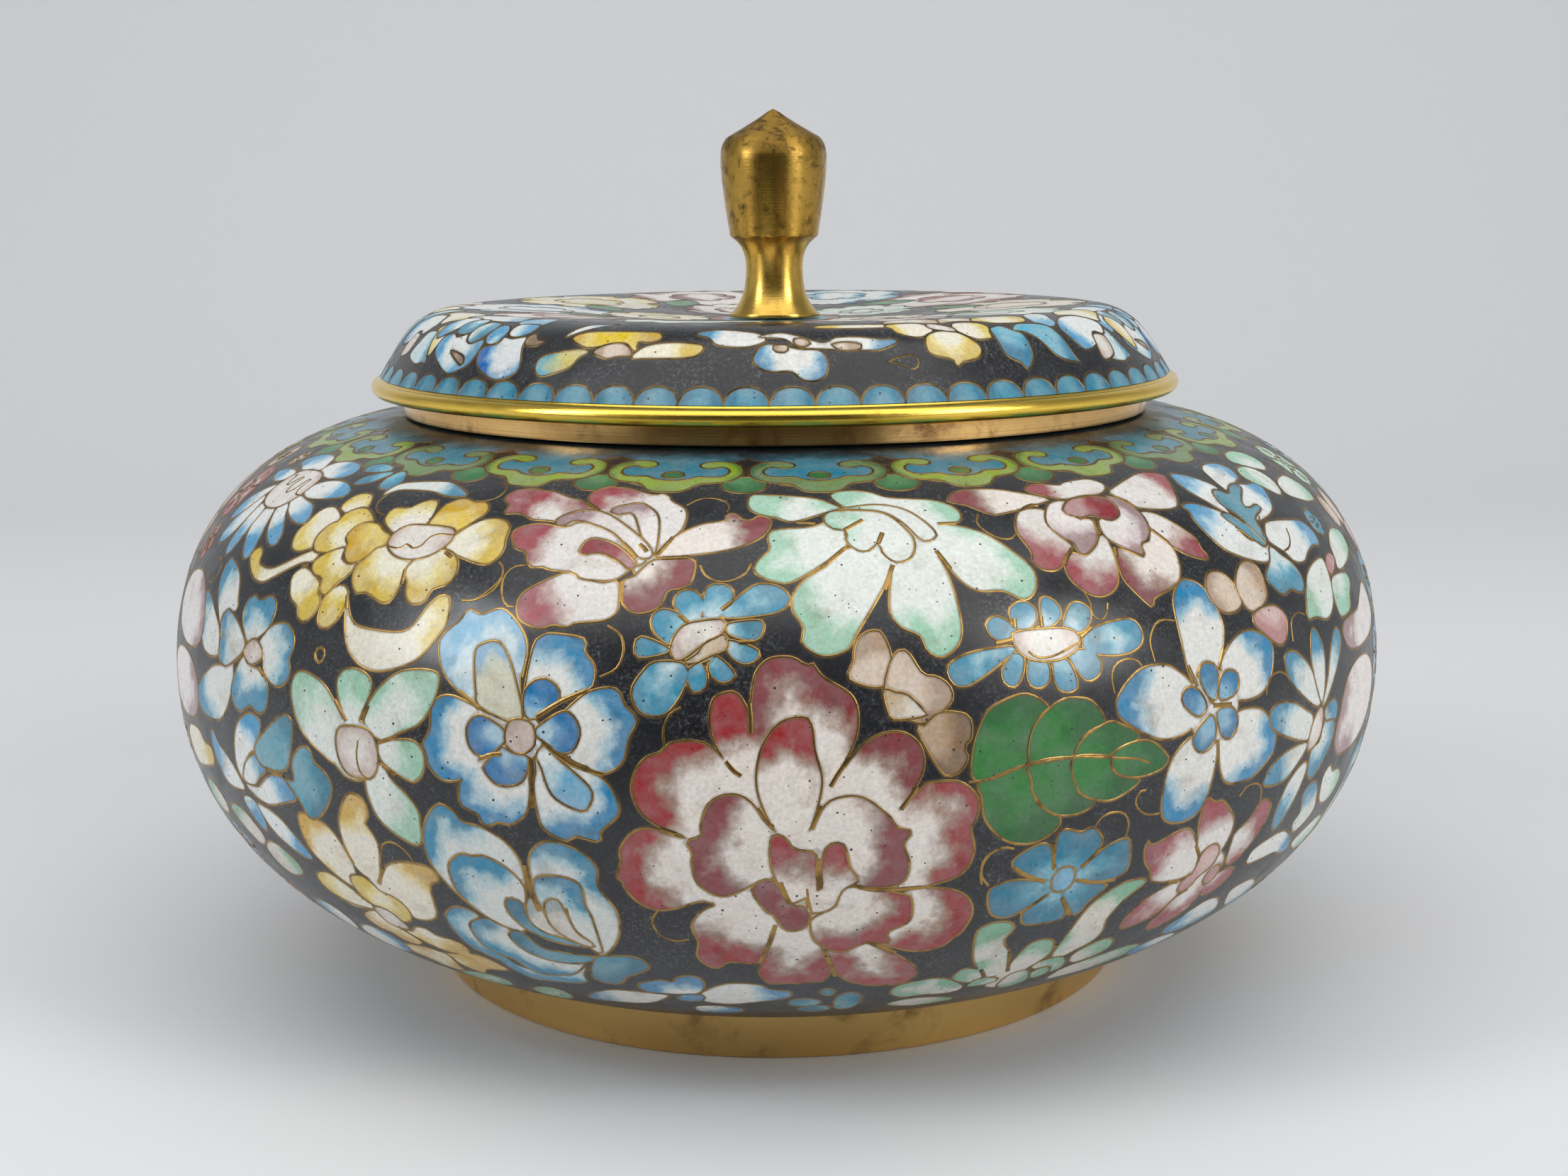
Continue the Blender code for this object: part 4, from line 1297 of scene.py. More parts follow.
# Small blue flower with a tilted centre.
def drawTiltedFlower(draw):
    draw.petals("skyBlue", (-5.8, 67), [
        [-7.6,66.3, -9,67.2, -9.6,68.7, -9.3,69.9, -8.3,70.2, -6.7,68.9],
        [-6.6,68.8, -7.9,70.6, -7.8,71.8, -6.9,72.5, -5.8,71.8, -5.5,70.3, -5.8,69.1],
        [-5.5,69.4, -5.5,72.5, -4.4,73.2, -3.4,72.7, -3.2,71.5, -4.3,69.2],
        [-4.1,69.4, -2,72.7, -0.6,73.2, 0.6,72.7, 1.3,71.5, 0.8,70.3, -0.6,69.6],
        [-3.6,68.7, -1.1,69.1, -0.8,68, -1.5,66.8, -3.5,67.5],
        [-3.6,67, -1.3,66, -1.3,64.9, -2.3,64.4, -3.4,65.3],
        [-4.3,65.3, -2.9,63.4, -3.7,62.5, -4.6,63, -5,64.4],
        [-5.5,64.6, -5,63.4, -5.1,62, -6,61.5, -6.5,62.5, -6.5,63.9],
        [-7.8,65.8, -10.2,64.9, -10.7,66, -10.2,67.2],
        [-9,64.6, -10,63.4, -10.7,61.5, -10,59.4, -8.3,59.1, -7.1,60.8, -6.5,63, -6.8,64.5]], 2.5)
    draw.petals("cream", (-5.8, 65.3), [
        [-5.8,65.6, -5.3,66.8, -3.9,67.6, -3.5,67, -3.7,65.8, -4.8,65.3, -5.8,64.6, -6.9,64.5]])
    draw.petals("ivory", (-5.8, 67), [
        [-7.9,66, -7.6,67.5, -6.7,68.7, -4.1,69.2, -3.7,68.4, -4.1,67.5, -5.1,66.8, -6.9,64.9, -7.6,64.9]])
    draw.spurs([-6.7,68.8, -7.4,69.6], [-4.1,70.2, -3.4,71], [-2.7,66.7, -1.6,66.8])


# Mint flower with a curled centre.
def drawMintFlower(draw):
    draw.petals("mint", (10.9, 79.6), [
        [-2.5,85.3, -2,86.4, 0.1,86.3, 3.2,85.8, 5,84.9, 6.4,83.4, 5,83, 1.8,81.5, 0.1,82.2, -1.3,82.7,
         -2.3,83.7],
        [6.9,83.4, 5.4,85.8, 6.2,86.8, 7.8,87, 9.5,86.5, 11.3,85.3, 15.1,84.6, 16.9,83.2, 17.3,81.5,
         16.5,80.5, 14.8,80.6, 13.4,82.5, 10.2,83.9, 8.5,83.9],
        [6.2,82.7, 3.6,80.8, 0.1,80.3, -0.6,79.1, -0.4,77.5, -1.5,75.8, -1.5,74.4, 0.1,73.3, 1.8,73.5,
         6,77.5, 6.2,79.6],
        [6.2,77.5, 4.3,75.3, 2.5,73.7, 1.5,72, 1.4,70.1, 2.2,68.2, 2.1,66.5, 3.6,65.2, 5.5,65.8, 6.4,67.7,
         8.8,72.5, 9.9,75.3, 8.1,77],
        [9.9,75.1, 9,70.1, 9.7,68, 11.1,67, 11.6,65.3, 12.7,64.6, 14.1,65.8, 14.6,68.2, 14.3,73.9,
         13.4,76.8, 12,76.3],
        [13.7,76.5, 15.1,73, 16.5,71.5, 18.6,71.3, 20.2,70.1, 21.4,71, 21.9,73, 21.3,74.9, 18.3,79.1,
         14.4,80.6, 14.2,79.1, 13,78.1]], 5.5)
    draw.petals("mint", (10.9, 79), [
        [5.5,83.3, 8.8,84.1, 10.9,83.8, 12.7,82.5, 14.3,79.1, 12.9,78.1, 11.5,81, 10.1,82.7, 7.8,83.3],
        [4.5,81.3, 4.6,82.5, 5.7,83.2, 9.9,82.7, 11.8,79.6, 12.1,77.7, 11.5,76, 10.2,75.4, 9.2,76.5, 8.9,78,
         8.1,77.1, 7.1,77.1, 6.2,78.4, 6.3,79.9, 5.2,80.3]])
    draw.spurs(
        [6.2,80.1, 8,81.6], [8.9,78, 9.5,79.5], [2,81.4, 3.7,81.2], [3.9,75, 6,77.5], [8.8,72.2, 9.8,75.1],
        [13.8,76.7, 14.6,74.3], [14.8,80.5, 16.4,80.5])


# Blue daisy with an oval centre.
def drawDaisy(draw):
    draw.petals("skyBlue", (21.3, 65.2), [
        [18.5,65.3, 17.1,65.3, 14.8,64.9, 13.2,63.9, 13,62.7, 13.7,61.5, 15.1,61.8, 18.5,64.6],
        [18.6,65.8, 17.2,66, 16.5,67.2, 16.7,68.2, 17.8,68.6, 19.2,66.8],
        [19.2,66.9, 18.6,68.2, 18.8,69.4, 19.9,70.1, 20.9,69.4, 21,68, 20.2,66.9],
        [21.3,66.9, 21.6,70.1, 22.5,70.2, 23.2,69.1, 23,67.7],
        [23,66.8, 24.1,69.2, 25.1,69.4, 25.9,68.4, 25.6,67, 24.4,66],
        [25.3,66.3, 29.1,67, 30.2,65.8, 30,64.1, 28.4,63.2, 26,63.4, 24.4,64.4],
        [23.9,64.4, 25.3,63.9, 25.9,62.7, 25.5,61.3, 24.2,61, 23,63.7],
        [22.8,63.5, 23.4,62, 23.5,60.3, 22.5,59.9, 21.6,60.8, 21.6,63.5],
        [21.1,63.5, 21.3,61.8, 20.6,60.7, 19.5,61, 19.3,62.7, 19.9,63.9],
        [19.3,64.1, 19,62.2, 18.3,61, 17.4,61.5, 17.3,63, 18.5,64.6]], 2.0)
    draw.petals("ivory", (21.3, 65.2), [
        [18.5,66, 19,66.8, 22.8,66.8, 24.2,66, 24.1,64.6, 22.5,63.5, 20.4,63.5, 19,64.4]])
    draw.curls([19.7,64.6, 20.4,63.9, 21.8,63.9, 24.1,65])
    draw.spurs([18.5,66, 17.1,65.7], [24.4,65.6, 25.6,66.5], [19,68.2, 18.9,67.2], [21.3,68.2, 21.2,67.1])


# Red and white peony at the right shoulder.
def drawRightPeony(draw):
    draw.petals("dustyPeony", (26.7, 83.3), [
        [16.7,84.2, 18.2,86, 21.8,86.1, 25.5,84.5, 27.2,83.3, 26.3,82.8, 21.8,81.6, 20.1,81.6, 18.3,83.3]])
    draw.petals("rosePeony", (32.6, 83.3), [
        [25.5,85.5, 26.3,86.3, 27.5,86.4, 29.7,85.8, 30.7,86.3, 33.6,86.5, 34.8,85.7, 35.1,84.8, 34.3,83.8,
         33.1,83.3, 31.2,83.4, 28.7,83.1, 26,84.7]])
    draw.petals("rosePeony", (35.3, 81.7), [
        [34.7,83.2, 35.6,84.2, 41.4,86.4, 44.4,85.5, 44,84, 42.2,80.7, 40.5,79.5, 36.5,80.3, 35.8,81.7]])
    draw.petals("rosePeony", (35.6, 79.7), [
        [35.9,77, 35.9,79.7, 38,79, 40.3,75.3, 40.3,73.7, 40.6,72.7, 40,72.2, 37.5,73.8]])
    draw.petals("rosePeony", (26, 81), [
        [21.8,78.7, 22.8,81.3, 24,82, 25.5,81.8, 26,81, 25.3,79.7, 25.5,78, 26.5,76, 25.5,75, 24.8,73.8,
         23.8,73.2, 22.6,73.5, 22,74.7, 22.3,75.7]])
    draw.petals("rosePeony", (28.7, 76), [
        [25,74.3, 26.3,75.3, 27.2,74.7, 28.7,75.7, 29.9,77.2, 30.4,76, 29.4,71, 27,69.7, 25,71.7]])
    draw.petals("dustyPeony", (34.8, 75.3), [
        [30,72, 30.8,75.2, 33.2,73.7, 33.6,75.3, 34.8,75.7, 35.7,77, 37,74, 35.8,70.3, 32.6,68.8, 31.9,67.8,
         30.4,70.3]])
    draw.petals("paleRose", (27.7, 82), [
        [25.2,79.7, 26.7,82.5, 28.7,82.8, 28.5,81, 28.7,79.7, 29.7,79.7, 30.2,79, 29.2,76.3, 27.2,74.7,
         26.7,75.7, 26.7,76.7, 25.9,77.2]])
    draw.petals("paleRose", (32.1, 78.7), [
        [30.3,78, 30.9,79.5, 32.1,79.3, 33.4,79.8, 33.8,81.3, 33.6,83, 34.8,82.5, 35.8,81, 36.1,79, 35.6,77,
         34.6,75.7, 33.6,75.3, 33.4,74, 32.6,74.2, 30.5,76.3]])
    draw.petals("deepRed", (28.7, 82.3), [
        [27.7,81.3, 29.7,83.1, 33.4,82.8, 33.8,80.2, 32.1,79, 30.4,80, 29.2,79.9, 28.2,80.3]])
    draw.spurs(
        [23.8,82.1, 24.8,82.6, 25.5,82.5], [26.4,75.8, 25.5,74.8, 24.9,73.8], [30.4,79.5, 30,78.2, 30,77.2],
        [30.7,75.3, 30.4,74.2], [35.9,77, 36.8,75])
    draw.curls(
        [19,81.7, 18.5,80.5, 18.8,79.2, 19.8,78, 21,77.8, 21.9,78.7], [25.8,70.4, 26.1,69, 25.9,68,
         26.5,67.2, 27.2,67.5, 27.7,68.9])


# Small leaves and a crescent at the left shoulder.
def drawShoulderLeaves(draw):
    draw.petals("brightTurquoise", (-45, 87.3), [
        [-50.6,87.2, -49.9,88.2, -48.5,88.6, -46.7,88.3, -45.9,87.6, -46.7,86.8, -49.7,86.1],
        [-48.5,85.3, -45.8,87.1, -44.8,86.9, -45.3,85.8, -46.4,84.3, -48.5,83.5],
        [-44.8,85.8, -44.2,87.4, -43.3,87.5, -42.2,86.4, -41.7,84.9, -42.1,83.8, -43.3,83.5, -44.4,84.1]])
    draw.petals("turquoiseWhite", (-41.8, 83.7), [
        [-42.2,82.5, -42.1,84.3, -40.9,85.5, -36.6,86.5, -34.4,86.2, -31.7,84.5, -32.6,83.8, -34.4,83.8,
         -36.6,84.3, -40.6,83.9]])
    draw.curls(
        [-41.6,83, -41.9,81.6, -40.9,80.1, -39.3,79.5], [-29.5,87.2, -28.5,87, -27.8,85.8, -28,84.3,
         -29.1,83.5, -30,83.5], [-26,70, -24.9,70.1, -23.7,71.4, -23,73, -23.3,74.3, -23.8,74.8])
    draw.curls([-40,61.9, -39.7,62.7, -39.2,62.8, -38.7,62.2, -38.8,61.4, -39.4,61, -39.9,61.4, -40,61.9])


# Yellow flowers.
def drawYellowFlowers(draw):
    draw.petals("yellow", (-44.8, 71.2), [
        [-46.1,69.3, -45.9,70.5, -44.8,71.2, -42.1,69.9, -41.8,68.7, -41,68, -41.2,66.2, -42.1,65.1,
         -43.2,65.3, -43.9,66.6, -45.2,67.4]])
    draw.petals("yellow", (-39.5, 70.3), [
        [-40.6,68.7, -39.2,70, -38,69.3, -37.8,67.4, -38.3,65.8, -39.3,64.8, -40.4,65.1, -40.8,66.4]])
    draw.petals("yellow", (-44.5, 73), [
        [-55,70.5, -54.8,71.8, -53.9,72.2, -53,71.4, -52.5,70.3, -49.7,70.3, -45.5,73.3, -44.2,73.2,
         -44.4,72, -46.1,71.4, -49.1,69.1, -50.7,68.2, -52.8,68.6]])
    draw.petals("paleYellow", (-44.8, 78.7), [
        [-46.4,80.8, -45.9,82, -44.7,82.6, -43.3,82.2, -42.4,80.2, -43.6,79.8, -44.4,78.9, -46.2,79.5],
        [-49.7,75.3, -49.3,76.6, -49.1,78.2, -48.4,79.3, -47,79.6, -44.8,78.2, -45.5,76.6, -45.8,75.3,
         -45.5,73.9, -46.7,73, -48.1,72.8, -49.1,73.5]])
    draw.petals("yellow", (-42.4, 75.8), [
        [-46.1,75.5, -45.6,77, -44.8,77.8, -44.7,79.1, -42.6,80.3, -39.9,78.5, -40.6,77, -40.9,74.9,
         -42.1,73.7, -44.7,73.2, -45.8,74.1]])
    draw.petals("paleYellow", (-35, 77.8), [
        [-38.9,80.8, -36.9,81.2, -36.3,82.2, -35,82.9, -34,82.3, -33.4,79.1, -35.7,77.2, -36.6,77.2,
         -38.8,78.8]])
    draw.petals("yolk", (-31.1, 78.7), [
        [-33.2,81.8, -32.6,83, -31.4,83.7, -29.8,83.2, -28.6,83.3, -27.8,82.2, -28,80.8, -29.8,78,
         -31.4,78.5, -33.1,78.8]])
    draw.petals("yellow", (-29.5, 76.6), [
        [-29.8,76.2, -29.5,77.8, -28,80.1, -26.5,80.8, -25.1,80.5, -24.3,79.5, -24.1,77.8, -23.8,76.4,
         -24.2,74.9, -25.4,74.3, -29.1,75.5]])
    draw.petals("yellow", (-34.4, 74.5), [
        [-38.4,71.2, -38.3,72.8, -36.6,75.8, -35.4,75.3, -32.9,74.5, -32.4,72.8, -32.8,69.3, -33.8,68.6,
         -36,69.5, -37.2,69.3]])
    draw.petals("yellow", (-31.1, 74.5), [
        [-32.8,72.6, -32,74.5, -29.8,75.8, -28,74.9, -27.4,73, -27.8,71.6, -29.1,70.8, -29.5,69.3,
         -30.8,68.9, -31.7,69.9, -32.1,71.4]])
    draw.petals("yellow", (-40.6, 73.7), [
        [-44.2,71.6, -43.6,73, -41.2,74.5, -40.9,73.2, -39.6,72.5, -38.6,72.8, -38.9,71.2, -39.9,69.9,
         -40.6,68.5, -41.5,68.7, -42.1,70.3, -43.3,70.5]])
    draw.petals("yolk", (-38.7, 77), [
        [-42.1,76.4, -41.6,77.6, -40.4,78.3, -39,78.2, -37.8,77.4, -36.4,76.8, -36.3,75.5, -37.3,74.9,
         -37.8,73.7, -38.7,72.8, -39.8,72.6, -40.9,73.7, -41.2,74.9, -41.9,75.5]])
    draw.petals("ivory", (-33.1, 76.4), [
        [-36.5,76.6, -36,78, -34.4,78.8, -30.3,78.8, -29.5,77.6, -29.8,76.2, -31.1,74.7, -32.9,74,
         -34.7,74.3, -36.1,75.3]])
    draw.curls([-36,75.4, -34.7,75.3, -34.1,76, -33.1,75.5, -32.3,76.2, -32.1,77.2, -31.1,77.8, -29.5,77.8])
    draw.spurs([-29.5,75.5, -28.6,74.9], [-32.8,72.8, -32.5,71], [-45.5,71.2, -44.7,71.7])


# Pale yellow petal and a short wire among the yellow flowers.
def drawPaleYellow(draw):
    draw.petals("paleYellow", (-36, 64.5), [
        [-38,68.8, -36.6,66.4, -35,65.7, -31.1,65.8, -29.8,67, -29.1,68.9, -28.2,70.3, -27.2,70.1,
         -26.8,68.2, -27.1,66.2, -29.2,62.8, -33.2,61.2, -36.3,63.2]])
    draw.spurs([-38,68.9, -37.5,67.4])


# Mint flower at the left.
def drawSmallMint(draw):
    draw.petals("mint", (-34.8, 52.4), [
        [-35.5,55.3, -36.9,58.9, -36.4,60.7, -35,61.2, -33.6,60.7, -33,59.3, -34,56, -34.3,55.1],
        [-33.7,55.9, -32.7,58.9, -30.8,61.3, -28.7,62.1, -26.9,62, -26.5,60.9, -27,58.4, -28.2,56.2,
         -30.1,55, -31.8,53.9],
        [-35.5,54.8, -37.8,58.4, -39.9,59.6, -41.6,59.7, -42.4,58.4, -42.2,56.2, -41.3,53.9, -39.9,52.2,
         -36.4,50.3, -36.2,54.1],
        [-32,53.9, -30.4,54.3, -28.7,54.5, -27.7,53.5, -27.6,51.7, -28.2,50.3, -29.2,50, -31.8,51.7],
        [-33.6,49.6, -33.4,47, -32.2,44.3, -29,42.5, -28.4,46.2, -29.2,48.1, -30.8,49.8, -31.8,51.5,
         -32.7,50.3]], 3.5)
    draw.petals("ivory", (-34.5, 52.2), [
        [-36.2,54.6, -36.7,52.7, -36.2,50.5, -35.2,49.4, -33.2,49.4, -32.4,50.3, -32.1,52, -32.5,54.1,
         -33.6,55]])
    draw.curls(
        [-34.2,53.5, -34.4,51.7, -34.1,50, -33.4,49.5], [-39.9,62, -39.4,62.8, -38.7,62, -39.4,61,
         -39.9,62], [-33.3,40.3, -32.9,41.7, -31.8,42.3, -30.6,41.6, -30,40.3])
    draw.spurs(
        [-36.9,57.4, -35.5,55.4], [-33.7,55.9, -33.2,57.5], [-32,53.7, -30.1,54.7], [-31.7,51.2,
         -30.4,50.3])


# Yellow flower at the lower left.
def drawYellowFlower(draw):
    draw.petals("amber", (-36, 32.7), [
        [-35.7,23.9, -33.6,23.6, -32.8,22.7, -33.9,17.9, -35.3,16.5, -37.1,16.7, -38.1,18.9, -39.9,20.3,
         -40.2,21.7, -39.2,22.7],
        [-32.5,22.7, -32.9,23.6, -31.5,24.1, -28.3,25.3, -26.2,23.1, -26.4,22, -29,21, -30.1,19.3,
         -31.1,18.9, -32.4,20, -32.7,21.7],
        [-37.3,37.9, -37.5,43.1, -35.9,47, -34.5,47.2, -33.8,46.5, -33.8,44.8, -34.3,44.1, -33.6,42.7,
         -33.4,40.8, -34.8,36, -36,36.2],
        [-37.3,37.9, -38.8,42.2, -42.4,43.2, -43.1,40.8, -42.7,37.9, -40.9,35.5, -39.2,34.1, -38.1,34.6],
        [-38.1,32, -40.6,34.6, -42.4,35, -43.4,33.1, -43.1,30.8, -41.3,29.8, -39.5,30, -38,31.2],
        [-35,35.5, -33.6,38.4, -31.8,39.8, -29.7,40.1, -28.2,39.7, -27.9,38.1, -29,37.2, -29.7,32.7,
         -31.1,31.2, -32.9,31, -33.2,32.7, -34.3,34.1, -35.3,34.6],
        [-38,30.3, -40.4,28.9, -40.8,27.2, -39.9,26, -38.5,25.5, -37.8,24.3, -36.4,23.9, -35.2,24.6,
         -34.8,25.5, -35.9,27.2, -37.6,28.6],
        [-34.6,27.9, -33.6,29.1, -32.4,29.2, -31.5,28.1, -30.1,28.1, -29,27.4, -28.9,26, -29.7,24.6,
         -32.9,24.6, -35.7,27.2]], 3.5)
    draw.petals("yellow", (-36, 33), [
        [-38.8,34.3, -38.5,35.8, -37.1,36.4, -36,35.8, -35.3,34.6, -33.9,34.1, -33.1,32.9, -33,31.2,
         -33.8,30, -35,29.6, -36,31, -37.1,31.2, -38.3,32.4]])
    draw.petals("ivory", (-36.4, 29.6), [
        [-37.8,31.2, -35.7,31, -34.8,28.1, -36.7,27.9, -37.6,28.6]])
    draw.spurs([-37.7,40.5, -37.2,38], [-33.6,38.4, -35,35.9], [-39.2,33.1, -38,31.6])


# Blue and white flower with five petals.
def drawFivePetals(draw):
    draw.petals("blueWhite", (36.5, 56.2), [
        [34.4,58.9, 33,60.8, 31.6,61.6, 29.5,61.5, 27.7,60, 26.7,58.1, 27.4,56.2, 30.9,53.6, 34,54.1,
         34.6,55.8, 33.3,57, 33.4,58.4],
        [34.6,58.9, 34,61.2, 34.1,67.4, 35.3,69.8, 36.5,70.4, 38.1,69.3, 39,66, 38.9,63.6, 37.4,60, 36.5,61,
         35.4,60.7],
        [37.9,60.8, 39.6,62.7, 41.4,63.5, 43.1,63.1, 44.7,61.5, 44.5,59.3, 43.7,57.4, 42.4,56.2, 40.7,55.9,
         39.1,56.2, 37.5,56.2, 38.8,57, 39.7,58.4, 38.9,59.7, 37.9,59.3],
        [39.1,54.8, 41,55, 43,53.9, 44.5,50, 42.1,47.2, 40,46.7, 38.1,47.2, 37.2,49.3, 37,52.9, 38.2,52.2,
         39.2,53.1],
        [34.2,53.4, 32.6,52.2, 31.6,50.3, 31.2,47.4, 31.4,45, 32.3,43.9, 33.7,43.6, 35.1,44.1, 36.1,46,
         36.9,50.8, 36.7,52.2, 35.4,51.3, 34.4,52]], 4.0)
    draw.petals("slateBlue", (36.3, 56.2), [
        [35.3,58.9, 35.4,60.5, 36.3,61, 37.3,60.3, 37.3,58.4, 36.7,56.7, 36.1,57],
        [37.5,58.9, 38.4,59.7, 39.5,59.3, 39.7,58.1, 39.1,56.9, 37.2,56.6],
        [36.8,55.3, 37.5,55.8, 38.8,55.5, 39.3,54.1, 38.9,52.7, 38.1,52.1, 37.2,52.9],
        [36.1,55.3, 36.7,54.1, 36.5,52.2, 35.4,51.3, 34.4,51.8, 34.2,53.4],
        [35.8,56.2, 34.7,55.3, 33.2,57, 33.4,58.4, 34.2,58.7, 35.1,58.1]])
    draw.spurs(
        [34.9,58.6, 34.2,61], [37.7,60.5, 38.4,62], [36.5,56.2, 38.6,55.9], [36.9,52.2, 37,50.3],
        [36.5,56.5, 36.1,57])


# Red and white flower at the right.
def drawRedFlower(draw):
    draw.petals("rosePeony", (38.8, 35.5), [
        [36.5,38.9, 35.8,42.2, 35.8,44.6, 36.3,45.9, 37.2,45.1, 38.2,45, 40.3,41.7, 39.6,37.4, 38.9,39.3,
         37.7,39.3, 37,38.5],
        [30.5,42.2, 31.1,41.5, 33.7,42.6, 35.1,42.2, 36.8,38.6, 37,37.2, 36.1,35.5, 32.6,36, 31.6,37.9,
         30.7,39.3, 30.3,41.2],
        [36.1,35, 34.4,34.8, 32.6,33.6, 31.6,31.7, 31.3,29.8, 31.9,28.4, 34.7,29.3, 36.5,32.7],
        [36.5,32.2, 38.9,33.6, 40,32.7, 40,29.8, 39.3,27.9, 37.5,26.5, 36.1,26.2, 35.3,27.9, 35.8,29.8],
        [40.8,39.3, 41,40.3, 42.4,41.5, 43.1,42.9, 44,43.5, 45.1,42.7, 45.2,40.8, 43.5,36.5, 42.1,35.3,
         41.2,36],
        [40,33.1, 40.7,34.3, 42.1,34.8, 43.5,34.1, 43.3,32.7, 42.1,31, 40.7,30.8, 40.1,31.7]], 3.0)
    draw.petals("rosy", (38.6, 36.5), [
        [37.2,38.4, 37.9,39.4, 38.9,39.3, 39.6,37.9, 39.3,36, 38.2,35, 37.7,33.6, 36.8,33, 36.1,33.6,
         36.1,35, 37,36],
        [39.1,34.6, 39.6,35.8, 40.5,36, 40.9,35, 40.7,33.6, 40,33, 39.3,33.6]])
    draw.spurs([36.1,40, 36.9,38.5], [34.2,35.5, 35.6,35])


# Green and white flower at the lower right.
def drawGreenFlower(draw):
    draw.petals("mintBeige", (22.5, 20.3), [
        [11.3,22.7, 14.8,23.6, 17.8,20.5, 17.9,18.4, 16.2,17.9, 14.1,18.4, 12,18.1, 10.6,20.3],
        [28.4,18.4, 29.5,20.8, 34.4,22.7, 37.2,22.4, 38.2,20.8, 37.9,18.4, 34.7,16.5, 31.6,16, 29.1,16],
        [16.4,25.1, 17.2,25.4, 18.3,24.6, 19.3,22.4, 18.1,21, 16.1,22.9],
        [28.1,24.6, 29.5,26.5, 31.1,26.9, 32.3,25.5, 32.4,23.6, 31.2,22.2, 29.5,21.6, 28.4,22.7],
        [16.4,32.2, 16.9,33.6, 18.1,34, 19.3,33.6, 19.8,32.4, 19.3,31, 19.5,29.8, 20.4,27.9, 21.6,23.1,
         20.6,22, 19.3,22.4, 17.1,27.4],
        [21.3,24.6, 21.8,28.6, 22.8,29.6, 24.1,29.3, 24.8,27.9, 24.9,25.5, 22.8,21.7],
        [25.5,25, 25.3,27.9, 26,33.1, 27.2,35.5, 29.1,37, 31.1,37, 31.6,36.2, 30.5,35, 29.5,33.1, 29.1,31.2,
         29.5,28.9, 29.1,27, 27.7,25.5, 27,24.6]], 3.0)
    draw.petals("mintBeige", (22.5, 20), [
        [22.1,21.2, 22.8,22.3, 24.1,22.2, 25.5,18.4, 24.6,16.5, 23.2,16.5, 22.1,18.4],
        [18.3,20.3, 18.8,21.7, 20,22, 21.2,21.2, 21.3,20, 20,19.3, 18.6,19.3],
        [24.1,22.9, 24.4,24.1, 25.6,24.7, 27,24.5, 27.9,23.1, 28.4,21.2, 28.1,20, 27.2,19.8, 26.9,21.5,
         26,22.4, 24.8,22.2],
        [24.9,21.2, 26,22.4, 27,21, 27.2,19.3, 26.3,18.4, 25.5,19.1]])
    draw.spurs([20.4,27.9, 21.6,23.1], [18.5,24.6, 19.5,22.3], [25.1,27.9, 25.1,24.8])


# Daisy at the left edge.
def drawEdgeDaisy(draw):
    draw.petals("azureWhite", (-59.5, 80.6), [
        [-55.2,80.6, -55,82.3, -52.9,83.6, -50.1,83.8, -48.2,83.1, -47.4,82.1, -48.4,80.9, -52.9,79.9],
        [-55.3,80.1, -53.3,79.8, -50.9,79.2, -49.5,77.3, -49.9,76.3, -51.7,76.3, -54.2,77.3, -55.9,78.7],
        [-56,78.7, -54.2,77, -52.1,74.8, -51.6,73.1, -52.7,72.6, -54.6,73.7, -56.4,75.9, -57.2,77.4],
        [-57.6,77.4, -56.4,75.3, -55.4,72.6, -55.3,70.6, -56.4,70.2, -58,71.7, -59.5,74.2, -59.7,76.7],
        [-59.9,77.1, -59.5,74.8, -59.7,72, -60.3,70.1, -61.3,69.8, -62,71.4, -62,74.8, -61.7,77.4],
        [-62.1,77.7, -62.1,74.8, -62.7,72.6, -64,70.9, -65.6,70.6, -66,72.6, -64.8,75.9, -63.6,78.4],
        [-63.1,79.2, -64.4,75.9, -66.4,73.7, -67.6,74.2, -67.2,77, -65.2,79.2, -63.3,80.6],
        [-63.2,81.4, -65.2,80.6, -67.2,80.9, -68.4,82, -66.8,83.1, -64,83.4, -62.7,82.8],
        [-62.3,83.7, -64.4,84.2, -66,84.8, -65.6,86.4, -63.6,87.6, -61.1,87.8, -59.5,87, -58.2,84.8,
         -60.3,84.3],
        [-58.2,84.7, -58,86.4, -56.2,87.4, -53.8,87.7, -51.7,87, -51,85.6, -52.1,84.2, -54.2,83.6,
         -56.2,83.9]])
    draw.petals("ivory", (-59.5, 80.6), [
        [-62.3,83.4, -63.1,81.4, -63.1,79.5, -61.9,77.8, -59.9,77.1, -57.6,77.4, -56,78.7, -55.2,80.6,
         -55.3,82.8, -56.4,84.1, -58.2,84.5, -60.7,84.2]])
    draw.curls(
        [-62.1,82.6, -61.5,82.8, -61.3,81.4, -60.7,80.9, -59.9,82.6, -59.3,82.8, -59.5,80.9, -58.9,79.8,
         -58,80.9, -57.8,82.6, -57.2,82.8, -57.2,81.4, -56.6,80.1, -55.6,80.1])


